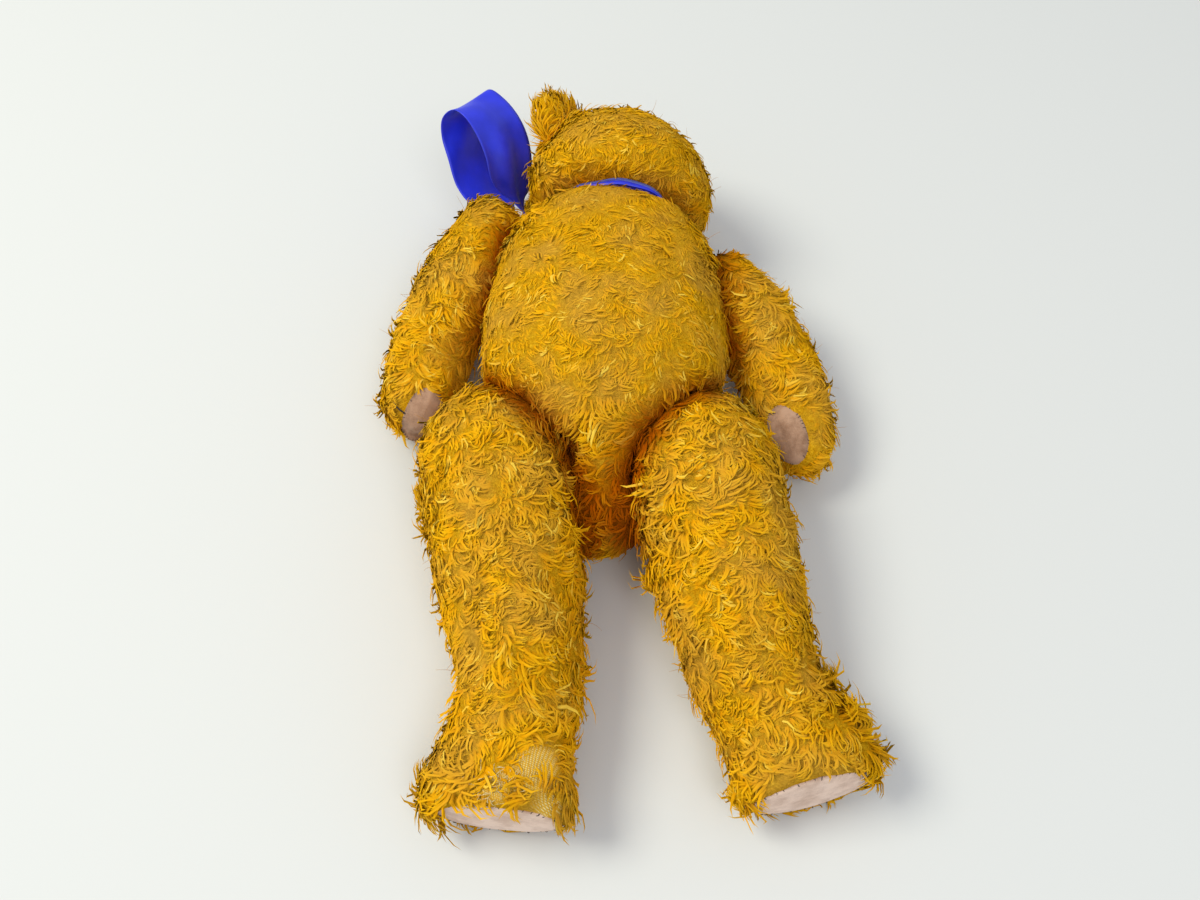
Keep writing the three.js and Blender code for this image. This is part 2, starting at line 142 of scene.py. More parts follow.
# Mohair cloth: a woven cotton backing, dyed gold, that shows between the locks and where the pile has gone.
backing = {
    "deepHex": "#A8640A",
    "feltHex": "#E2A210",
    "lightHex": "#F2BE24",
    "dustHex": "#D6A23E",
    # painted shade: the colour that darkens cloth and hair in the creases
    "creaseShadeHex": "#B88048",
    "bareHex": "#F6DE92",
    "bareGapHex": "#DCA830",
    "threadMm": 0.9,  # a real one is nearer 0.5, too fine to see here
    "feltMm": 2.6,
    "patchMm": 26.0,
    "roughness": 0.95,
}


def shadedInCreases(tree, colour):
    # painted shade: in the creases, where another part is near, the gold is darkened deeper and browner
    creaseShade = addNode(tree, "ShaderNodeAttribute", {"attribute_name": "creaseShade"}).outputs["Fac"]
    return addNode(
        tree, "ShaderNodeMix", {
            "data_type": "RGBA", "blend_type": "MULTIPLY", 7: linear(backing["creaseShadeHex"])
        },
        {0: creaseShade, 6: colour},
    ).outputs[2]


def makeBacking():
    material, tree, shader = startMaterial(
        "mohair_backing_cloth",
        {
            "Roughness": backing["roughness"], "Sheen Weight": 0.1, "Sheen Roughness": 0.5,
            "Specular IOR Level": 0.0
        },
    )
    shader.inputs["Sheen Tint"].default_value = linear("#E0A800")
    place = addNode(tree, "ShaderNodeTexCoord").outputs["Object"]
    felt = addNode(
        tree, "ShaderNodeTexNoise", {
            "Scale": 1 / (backing["feltMm"] * mm), "Detail": 5.0, "Roughness": 0.68, "Distortion": 2.2
        }, {"Vector": place}
    )
    feltColour = ramp(
        addNode(tree, "ShaderNodeValToRGB", {}, {0: felt.outputs[0]}),
        [(0.27, backing["deepHex"]), (0.43, backing["feltHex"]), (0.66, backing["lightHex"])],
    )
    patches = addNode(
        tree, "ShaderNodeTexNoise", {
            "Scale": 1 / (backing["patchMm"] * mm), "Detail": 2.0
        }, {"Vector": place}
    )
    dusty = addNode(
        tree, "ShaderNodeMapRange", {
            "From Min": 0.42, "From Max": 0.68, "To Max": 0.6
        }, {0: patches.outputs[0]}
    )
    feltColour = addNode(
        tree, "ShaderNodeMix", {"data_type": "RGBA", 7: linear(backing["dustHex"])},
        {0: dusty.outputs[0], 6: feltColour},
    ).outputs[2]
    turns = addNode(tree, "ShaderNodeMapping", {"Rotation": (0.3, 0.5, 0.35)}, {"Vector": place})
    perThread = math.pi / (10 * backing["threadMm"] * mm)
    warp = addNode(
        tree, "ShaderNodeTexWave", {
            "Scale": perThread, "bands_direction": "X", "Distortion": 1.2, "Detail": 1.0
        },
        {"Vector": turns.outputs[0]},
    )
    weft = addNode(
        tree, "ShaderNodeTexWave", {
            "Scale": perThread, "bands_direction": "Y", "Distortion": 1.2, "Detail": 1.0
        },
        {"Vector": turns.outputs[0]},
    )
    weave = addNode(
        tree, "ShaderNodeMath", {"operation": "MINIMUM"}, {0: warp.outputs["Fac"], 1: weft.outputs["Fac"]}
    )
    woven = ramp(
        addNode(tree, "ShaderNodeValToRGB", {}, {0: weave.outputs[0]}),
        [(0.15, backing["bareGapHex"]), (0.6, backing["bareHex"])],
    )
    bare = addNode(tree, "ShaderNodeAttribute", {"attribute_name": "bare"})
    colour = addNode(
        tree, "ShaderNodeMix", {"data_type": "RGBA"}, {0: bare.outputs["Fac"], 6: feltColour, 7: woven}
    )
    # painted shade darkens the cloth in the creases
    tree.links.new(shadedInCreases(tree, colour.outputs[2]), shader.inputs["Base Color"])
    shallow = addNode(tree, "ShaderNodeMath", {"operation": "MULTIPLY", 1: 0.15}, {0: weave.outputs[0]})
    height = addNode(
        tree, "ShaderNodeMix", {}, {0: bare.outputs["Fac"], 2: felt.outputs[0], 3: shallow.outputs[0]}
    )
    bump = addNode(
        tree, "ShaderNodeBump", {"Strength": 1.0, "Distance": 0.0022}, {"Height": height.outputs[0]}
    )
    tree.links.new(bump.outputs[0], shader.inputs["Normal"])
    return material


# Mohair pile: goat hair in curly locks, bright gold where it is clean and dull where it is matted and dusty.

pile = {
    # painted shade: the darker colour at the root of each lock
    "shadedRootHex": "#CC880A",
    "midHex": "#E59F0C",
    "tipHex": "#F3B916",
    "dustHex": "#D09C34",
    "paleHex": "#FFE45C",
    "patchMm": 26.0,
    "fibreMm": 0.3,  # a real hair is 0.04 mm thick
    "roughness": 0.6,
}


def makePile():
    material, tree, shader = startMaterial(
        "mohair_pile_locks",
        {
            "Roughness": pile["roughness"], "Sheen Weight": 0.15, "Sheen Roughness": 0.4,
            "Specular IOR Level": 0.0
        },
    )
    shader.inputs["Sheen Tint"].default_value = linear("#F0B400")
    place = addNode(tree, "ShaderNodeTexCoord").outputs["Object"]
    along = addNode(tree, "ShaderNodeAttribute", {"attribute_name": "along"}).outputs["Fac"]
    shade = addNode(tree, "ShaderNodeAttribute", {"attribute_name": "shade"}).outputs["Fac"]
    strand = addNode(tree, "ShaderNodeAttribute", {"attribute_name": "strand"}).outputs["Vector"]
    # painted shade: each lock is darker at its root, where the locks shade one another, and lighter toward
    # its tip
    length = ramp(
        addNode(tree, "ShaderNodeValToRGB", {}, {0: along}),
        [(0.0, pile["shadedRootHex"]), (0.3, pile["midHex"]), (0.95, pile["tipHex"])],
    )
    patches = addNode(
        tree, "ShaderNodeTexNoise", {"Scale": 1 / (pile["patchMm"] * mm), "Detail": 2.0}, {"Vector": place}
    )
    dusty = addNode(
        tree, "ShaderNodeMapRange", {
            "From Min": 0.42, "From Max": 0.66, "To Max": 0.65
        }, {0: patches.outputs[0]}
    )
    dusted = addNode(
        tree, "ShaderNodeMix", {
            "data_type": "RGBA", 7: linear(pile["dustHex"])
        }, {0: dusty.outputs[0], 6: length}
    )
    bright = addNode(
        tree, "ShaderNodeMapRange", {"From Min": 0.78, "From Max": 1.0, "To Max": 0.6}, {0: shade}
    )
    pale = addNode(
        tree, "ShaderNodeMix", {"data_type": "RGBA", 7: linear(pile["paleHex"])},
        {0: bright.outputs[0], 6: dusted.outputs[2]},
    )
    dark = addNode(
        tree, "ShaderNodeMapRange", {
            "From Min": 0.0, "From Max": 0.35, "To Min": 0.82, "To Max": 1.0
        }, {0: shade}
    )
    colour = addNode(
        tree, "ShaderNodeMix", {"data_type": "RGBA", "blend_type": "MULTIPLY", 0: 1.0},
        {6: pale.outputs[2], 7: dark.outputs[0]},
    )
    streaks = addNode(
        tree, "ShaderNodeTexNoise", {
            "Scale": 1 / (2 * pile["fibreMm"] * mm), "Detail": 2.0, "Roughness": 0.6
        },
        {"Vector": strand},
    )
    streaky = addNode(
        tree, "ShaderNodeMapRange", {"From Min": 0.3, "From Max": 0.7, "To Min": 0.88, "To Max": 1.12},
        {0: streaks.outputs[0]},
    )
    streaked = addNode(
        tree, "ShaderNodeMix", {"data_type": "RGBA", "blend_type": "MULTIPLY", 0: 1.0},
        {6: colour.outputs[2], 7: streaky.outputs[0]},
    )
    # painted shade darkens the hair in the creases
    tree.links.new(shadedInCreases(tree, streaked.outputs[2]), shader.inputs["Base Color"])
    fibres = addNode(
        tree, "ShaderNodeTexNoise", {"Scale": 1 / (pile["fibreMm"] * mm), "Detail": 2.0, "Roughness": 0.6},
        {"Vector": strand},
    )
    bump = addNode(
        tree, "ShaderNodeBump", {"Strength": 0.4, "Distance": 0.0004}, {"Height": fibres.outputs[0]}
    )
    tree.links.new(bump.outputs[0], shader.inputs["Normal"])
    return material


# Wool felt of the pads: dull, fibrous, rubbed pale in the middle and grey with dirt at the edge.
felt = {
    "soleHex": "#F2D3BC",
    "soleDirtHex": "#D0AC92",
    # the paw felt is a browner felt, and it is made darker still with painted shade
    "pawHex": "#BC977C",
    "pawDirtHex": "#8E6A50",
    "fibreMm": 0.8,
    "roughness": 0.95,
}


def makeFelt(name, cleanHex, dirtHex):
    material, tree, shader = startMaterial(
        name, {
            "Roughness": felt["roughness"], "Sheen Weight": 0.3, "Sheen Roughness": 0.6,
            "Specular IOR Level": 0.1
        }
    )
    place = addNode(tree, "ShaderNodeTexCoord").outputs["Object"]
    fibre = addNode(
        tree, "ShaderNodeTexNoise", {"Scale": 1 / (felt["fibreMm"] * mm), "Detail": 5.0, "Roughness": 0.7},
        {"Vector": place},
    )
    dirt = addNode(
        tree, "ShaderNodeTexNoise", {"Scale": 90.0, "Detail": 4.0, "Roughness": 0.6}, {"Vector": place}
    )
    both = addNode(
        tree, "ShaderNodeMath", {"operation": "MULTIPLY_ADD", 1: 0.35}, {
            0: fibre.outputs[0], 2: dirt.outputs[0]
        }
    )
    colour = ramp(
        addNode(tree, "ShaderNodeValToRGB", {}, {0: both.outputs[0]}), [(0.5, dirtHex), (0.78, cleanHex)]
    )
    tree.links.new(colour, shader.inputs["Base Color"])
    bump = addNode(
        tree, "ShaderNodeBump", {"Strength": 0.6, "Distance": 0.0005}, {"Height": fibre.outputs[0]}
    )
    tree.links.new(bump.outputs[0], shader.inputs["Normal"])
    return material


# Satin ribbon, woven polyester: long floats give it a soft shine along the threads.
satin = {"faceHex": "#2A38E6", "shadeHex": "#2330CC", "ribMm": 0.5, "roughness": 0.38}


def makeSatin():
    material, tree, shader = startMaterial(
        "satin_ribbon_weave",
        {"Roughness": satin["roughness"], "Specular IOR Level": 0.45, "Anisotropic": 0.5,
         "Sheen Weight": 0.35,
         "Sheen Roughness": 0.35},
    )
    shader.inputs["Sheen Tint"].default_value = linear("#8FA0FF")
    run = addNode(tree, "ShaderNodeAttribute", {"attribute_name": "run"}).outputs["Vector"]
    place = addNode(tree, "ShaderNodeTexCoord").outputs["Object"]
    ribs = addNode(
        tree, "ShaderNodeTexWave",
        {
            "Scale": math.pi / (20 * satin["ribMm"] * mm), "bands_direction": "X", "Distortion": 0.3
        }, {"Vector": run},
    )
    cloudy = addNode(tree, "ShaderNodeTexNoise", {"Scale": 60.0, "Detail": 3.0}, {"Vector": place})
    colour = ramp(
        addNode(tree, "ShaderNodeValToRGB", {}, {0: cloudy.outputs[0]}),
        [(0.35, satin["shadeHex"]), (0.65, satin["faceHex"])],
    )
    tree.links.new(colour, shader.inputs["Base Color"])
    bump = addNode(
        tree, "ShaderNodeBump", {"Strength": 0.12, "Distance": 0.0001}, {"Height": ribs.outputs["Fac"]}
    )
    tree.links.new(bump.outputs[0], shader.inputs["Normal"])
    return material


# Cotton floss and button thread: twisted strands, dull and nearly black.
floss = {"darkHex": "#17120F", "paleHex": "#3A2F28", "strandMm": 0.5}


def makeFloss():
    material, tree, shader = startMaterial("cotton_floss", {"Roughness": 0.75, "Sheen Weight": 0.2})
    place = addNode(tree, "ShaderNodeTexCoord").outputs["Object"]
    strands = addNode(
        tree, "ShaderNodeTexNoise", {
            "Scale": 1 / (floss["strandMm"] * mm), "Detail": 3.0
        }, {"Vector": place}
    )
    colour = ramp(
        addNode(tree, "ShaderNodeValToRGB", {}, {0: strands.outputs[0]}),
        [(0.35, floss["darkHex"]), (0.7, floss["paleHex"])],
    )
    tree.links.new(colour, shader.inputs["Base Color"])
    bump = addNode(
        tree, "ShaderNodeBump", {"Strength": 0.5, "Distance": 0.0003}, {"Height": strands.outputs[0]}
    )
    tree.links.new(bump.outputs[0], shader.inputs["Normal"])
    return material


# Blown glass of the eyes: clear brown round a black pupil, with a wet-looking shine.
eyeGlass = {
    "pupilHex": "#060504", "irisHex": "#7A3A10", "rimHex": "#2A1206", "pupilShare": 0.42, "roughness": 0.04
}


def makeEyeGlass():
    material, tree, shader = startMaterial(
        "brown_eye_glass", {"Roughness": eyeGlass["roughness"], "Coat Weight": 0.6, "Coat Roughness": 0.02}
    )
    out = addNode(tree, "ShaderNodeAttribute", {"attribute_name": "out"}).outputs["Fac"]
    edge = eyeGlass["pupilShare"]
    colour = ramp(
        addNode(tree, "ShaderNodeValToRGB", {}, {0: out}),
        [(edge, eyeGlass["pupilHex"]), (edge + 0.04, eyeGlass["irisHex"]), (0.85, eyeGlass["irisHex"]),
         (1.0, eyeGlass["rimHex"])],
    )
    tree.links.new(colour, shader.inputs["Base Color"])
    return material


# Hardboard discs of the joints: pressed brown fibre.
def makeHardboard():
    material, tree, shader = startMaterial(
        "pressed_hardboard", {"Roughness": 0.8, "Specular IOR Level": 0.3}
    )
    place = addNode(tree, "ShaderNodeTexCoord").outputs["Object"]
    grain = addNode(tree, "ShaderNodeTexNoise", {"Scale": 900.0, "Detail": 4.0}, {"Vector": place})
    colour = ramp(
        addNode(
            tree, "ShaderNodeValToRGB", {}, {0: grain.outputs[0]}
        ), [(0.35, "#5A4028"), (0.7, "#8E6A45")]
    )
    tree.links.new(colour, shader.inputs["Base Color"])
    bump = addNode(
        tree, "ShaderNodeBump", {"Strength": 0.3, "Distance": 0.0002}, {"Height": grain.outputs[0]}
    )
    tree.links.new(bump.outputs[0], shader.inputs["Normal"])
    return material


# Mild steel wire and washers: dull grey, faintly drawn.
def makeSteel():
    material, tree, shader = startMaterial("drawn_steel_wire", {"Metallic": 1.0, "Roughness": 0.45})
    place = addNode(tree, "ShaderNodeTexCoord").outputs["Object"]
    scratches = addNode(tree, "ShaderNodeTexNoise", {"Scale": 1500.0, "Detail": 2.0}, {"Vector": place})
    colour = ramp(
        addNode(
            tree, "ShaderNodeValToRGB", {}, {0: scratches.outputs[0]}
        ), [(0.3, "#7C7F82"), (0.7, "#A9ACAE")]
    )
    tree.links.new(colour, shader.inputs["Base Color"])
    return material


backingCloth = makeBacking()
pileLocks = makePile()
brownGlass = makeEyeGlass()
soleFelt = makeFelt("wool_felt_sole", felt["soleHex"], felt["soleDirtHex"])
pawFelt = makeFelt("wool_felt_paw", felt["pawHex"], felt["pawDirtHex"])
satinWeave = makeSatin()
flossThread = makeFloss()
hardboard = makeHardboard()
steelWire = makeSteel()
print("materials made")

# ---- where things are, in millimetres from the middle of the bear's underside ----

neckAt = np.array([4.36, 133.10, 57.0])
headUp = np.array([0.119973, 0.992777, 0.0])
faceTurn = math.radians(52)
face = np.array([-math.sin(faceTurn), 0.0, -math.cos(faceTurn)])
face = face - headUp * face.dot(headUp)
face = face / np.linalg.norm(face)
headLeft = np.cross(headUp, face)


def onHead(up, front, left):
    return neckAt + headUp * up + face * front + headLeft * left


def unit(vectors):
    return vectors / np.maximum(np.linalg.norm(vectors, axis=-1, keepdims=True), 1e-9)


def drift(points, size, seed):
    # a smooth random field, three values for each point, each from -1 to 1
    grid = np.random.default_rng(seed).uniform(-1, 1, (16, 16, 16, 3))
    at = points / size + 64.0
    low = np.floor(at).astype(int)
    part = at - low
    part = part * part * (3 - 2 * part)
    total = np.zeros((len(points), 3))
    for corner in itertools.product((0, 1), repeat=3):
        index = (low + np.array(corner)) % 16
        weight = np.prod(np.where(np.array(corner) == 1, part, 1 - part), axis=1)
        total += grid[index[:, 0], index[:, 1], index[:, 2]] * weight[:, None]
    return total


def link(name, mesh, body, material, smooth=True):
    thing = bpy.data.objects.new(name, mesh)
    bpy.context.scene.collection.objects.link(thing)
    mesh.materials.clear()
    mesh.materials.append(material)
    if smooth:
        mesh.polygons.foreach_set("use_smooth", np.ones(len(mesh.polygons), bool))
    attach(thing, body)
    return thing


def triangles(mesh):
    mesh.calc_loop_triangles()
    points = np.empty(len(mesh.vertices) * 3)
    mesh.vertices.foreach_get("co", points)
    corners = np.empty(len(mesh.loop_triangles) * 3, np.int32)
    mesh.loop_triangles.foreach_get("vertices", corners)
    normals = np.empty(len(mesh.vertices) * 3)
    mesh.vertices.foreach_get("normal", normals)
    return points.reshape(-1, 3), corners.reshape(-1, 3), normals.reshape(-1, 3)


def biggestPiece(mesh):
    # drops the small closed bubbles left inside by the joints
    edges = np.empty(len(mesh.edges) * 2, np.int32)
    mesh.edges.foreach_get("vertices", edges)
    near = [[] for _ in range(len(mesh.vertices))]
    for a, b in edges.reshape(-1, 2).tolist():
        near[a].append(b)
        near[b].append(a)
    group = np.full(len(near), -1)
    sizes = []
    for start in range(len(near)):
        if group[start] >= 0:
            continue
        group[start] = len(sizes)
        todo = [start]
        count = 0
        while todo:
            count += 1
            for other in near[todo.pop()]:
                if group[other] < 0:
                    group[other] = len(sizes)
                    todo.append(other)
        sizes.append(count)
    keep = group == int(np.argmax(sizes))
    points = np.empty(len(mesh.vertices) * 3)
    mesh.vertices.foreach_get("co", points)
    number = np.cumsum(keep) - 1
    faces = [[int(number[i]) for i in p.vertices] for p in mesh.polygons if keep[p.vertices[0]]]
    made = bpy.data.meshes.new(mesh.name)
    made.from_pydata(points.reshape(-1, 3)[keep], [], faces)
    return made


def withModifiers(mesh, steps):
    thing = bpy.data.objects.new("shaping", mesh)
    bpy.context.scene.collection.objects.link(thing)
    for kind, values in steps:
        modifier = thing.modifiers.new(kind, kind)
        for key, value in values.items():
            setattr(modifier, key, value)
    graph = bpy.context.evaluated_depsgraph_get()
    made = bpy.data.meshes.new_from_object(thing.evaluated_get(graph))
    bpy.data.objects.remove(thing)
    return made


# ---- skins: the cloth over the stuffing, one for each part that moves ----

skinShape = {
    "gridMm": 3.1, "fineGridMm": 1.6, "smoothing": 11, "swellMm": 1.0, "lumpsMm": 0.7, "lumpSizeMm": 16.0
}
joints = {
    "neck": ("torso", "head"),
    "left_shoulder": ("torso", "left_arm"),
    "right_shoulder": ("torso", "right_arm"),
    "left_hip": ("torso", "left_leg"),
    "right_hip": ("torso", "right_leg"),
}


def insidesOf(body):
    names = [f"{body}_stuffing"] if f"{body}_stuffing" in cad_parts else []
    for joint, (parent, child) in joints.items():
        side = "torso" if body == parent else "limb"
        if body in (parent, child):
            names += [f"{joint}_{side}_disc", f"{joint}_{side}_washer", f"{joint}_split_pin"]
    return names


def makeSkin(name, body, covers, plugs, replaced, grid, smoothing, seed):
    points, faces, start = [], [], 0
    for node in covers + plugs:
        co, corners, _ = triangles(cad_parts[node].data)
        points.append(co)
        faces.append(corners + start)
        start += len(co)
    rough = bpy.data.meshes.new(name)
    rough.from_pydata(np.concatenate(points), [], np.concatenate(faces).tolist())
    solid = biggestPiece(withModifiers(rough, [("REMESH", {"mode": "VOXEL", "voxel_size": grid * mm})]))
    mesh = withModifiers(solid, [("SMOOTH", {"factor": 0.5, "iterations": smoothing})])
    co, _, normals = triangles(mesh)
    lumps = drift(co, skinShape["lumpSizeMm"] * mm, seed)[:, :1] * skinShape["lumpsMm"] * mm
    co = co + normals * (lumps + skinShape["swellMm"] * mm)
    co[:, 2] = np.maximum(co[:, 2], 0.3 * mm)
    mesh.vertices.foreach_set("co", co.ravel())
    mesh.attributes.new("bare", "FLOAT", "POINT")
    mesh.update()
    skin = link(name, mesh, body, backingCloth)
    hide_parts(*replaced)
    return skin


def paintBare(skin, spots):
    # spots: place in millimetres, radius, and how bare
    co, _, _ = triangles(skin.data)
    bare = np.zeros(len(co))
    for place, radius, amount in spots:
        away = np.linalg.norm(co - np.array(place) * mm, axis=1) / (radius * mm)
        away += 0.25 * drift(co, 6 * mm, 77)[:, 0]
        bare = np.maximum(bare, amount * np.clip(1.6 - 1.4 * away, 0, 1))
    skin.data.attributes["bare"].data.foreach_set("value", bare.astype(np.float32))


# where the pile has worn away to the weave: place in millimetres, radius, how bare
worn = {
    "left_leg": [((-36, -194, 52), 12, 1.0), ((-30, -210, 46), 9, 1.0), ((-52, -202, 52), 8, 0.9)],
}

bodies = ["torso", "head", "left_arm", "right_arm", "left_leg", "right_leg"]
skins = {}
for number, body in enumerate(bodies):
    inside = insidesOf(body)
    skins[body] = makeSkin(
        f"{body}_skin", body, [f"{body}_cover"], inside, [f"{body}_cover", f"{body}_stuffing"],
        skinShape["gridMm"], skinShape["smoothing"], 10 + number,
    )
    paintBare(skins[body], worn.get(body, []))
    print(body, "skin", len(skins[body].data.polygons))
for side in ("left", "right"):
    node = f"{side}_ear"
    skins[node] = makeSkin(f"{node}_skin", "head", [node], [], [node], skinShape["fineGridMm"], 5, 31)
print("skins made")

# ---- pile: locks of hair that grow from a skin ----

lock = {
    "rings": [0.0, 0.4, 0.75],
    "widths": [0.8, 1.0, 0.7],
    "flatness": 0.4,
    "rootMm": 0.8,
    "soft": 0.7,
}
coat = {
    "torso": {
        "locks": 12000, "lengthMm": (5.0, 9.0), "widthMm": (0.9, 1.5), "lift": (3, 24), "curl": (0.4, 2.2),
        "wander": 1.2, "stray": 0.55, "tuft": 5, "pull": 0.45, "long": 0.04,
    },
    "head": {
        "locks": 9100, "lengthMm": (5.0, 9.0), "widthMm": (0.9, 1.5), "lift": (3, 24), "curl": (0.4, 2.0),
        "wander": 1.0, "stray": 0.5, "tuft": 5, "pull": 0.45, "long": 0.05,
    },
    "arm": {
        "locks": 5500, "lengthMm": (6.0, 11.5), "widthMm": (0.8, 1.5), "lift": (2, 24), "curl": (0.6, 2.4),
        "wander": 1.0, "stray": 0.5, "tuft": 6, "pull": 0.55, "long": 0.06,
    },
    "leg": {
        "locks": 10300, "lengthMm": (6.5, 12.5), "widthMm": (0.8, 1.5), "lift": (2, 26), "curl": (0.8, 2.8),
        "wander": 1.5, "stray": 0.7, "tuft": 6, "pull": 0.6, "long": 0.07,
    },
    "ear": {
        "locks": 850, "lengthMm": (6.5, 12.0), "widthMm": (0.7, 1.3), "lift": (6, 42), "curl": (0.4, 1.8),
        "wander": 0.7, "stray": 0.5, "tuft": 5, "pull": 0.5, "long": 0.1,
    },
}


def scatter(skin, count, shareAt, random):
    co, corners, normals = triangles(skin.data)
    a, b, c = (co[corners[:, i]] for i in range(3))
    area = np.linalg.norm(np.cross(b - a, c - a), axis=1) / 2
    middle = (a + b + c) / 3
    facing = unit(np.cross(b - a, c - a))
    weight = area * shareAt(middle / mm, facing)
    steps = (np.arange(count) + random.uniform(0, 1, count)) / count * weight.sum()
    chosen = np.searchsorted(np.cumsum(weight), steps).clip(0, len(weight) - 1)
    u, w = random.uniform(0, 1, (2, count, 1))
    over = (u + w) > 1
    u, w = np.where(over, 1 - u, u), np.where(over, 1 - w, w)
    mix = lambda values: (
        values[corners[chosen, 0]] * (1 - u - w)
        + values[corners[chosen, 1]] * u
        + values[corners[chosen, 2]] * w
    )
    return mix(co), unit(mix(normals))


def roomAround(roots, normals, others):
    # how far each root can see before another part is in the way, and how near that part is
    room, near = np.full(len(roots), 30 * mm), np.full(len(roots), 30 * mm)
    for tree in others:
        for i, (root, normal) in enumerate(zip(roots, normals)):
            away = tree.find_nearest(Vector(root), 18 * mm)[3]
            if away is None:
                continue
            near[i] = min(near[i], away)
            if away > 12 * mm:
                continue
            hit = tree.ray_cast(Vector(root - normal * 0.5 * mm), Vector(normal), 14 * mm)[3]
            if hit is not None:
                room[i] = min(room[i], hit)
    return room, near


# painted shade: how near another part is where a crease begins to darken, and the deep cleft between the
# thighs, darkest of all
creaseShade = {"reachMm": 15, "edge": 1.15, "cleftAt": (-6.0, -56.0, 46.0), "cleftMm": 30, "cleftShare": 0.8}


def paintedCreaseShade(points, near):
    # painted shade: hair and cloth are darkened in a crease where another part is near, and most of all
    # between the thighs
    away = np.linalg.norm(points / mm - np.array(creaseShade["cleftAt"]), axis=1) / creaseShade["cleftMm"]
    share = creaseShade["edge"] - near / (creaseShade["reachMm"] * mm) + creaseShade["cleftShare"] * np.exp(-(away**2))
    return np.clip(share, 0, 1).astype(np.float32)


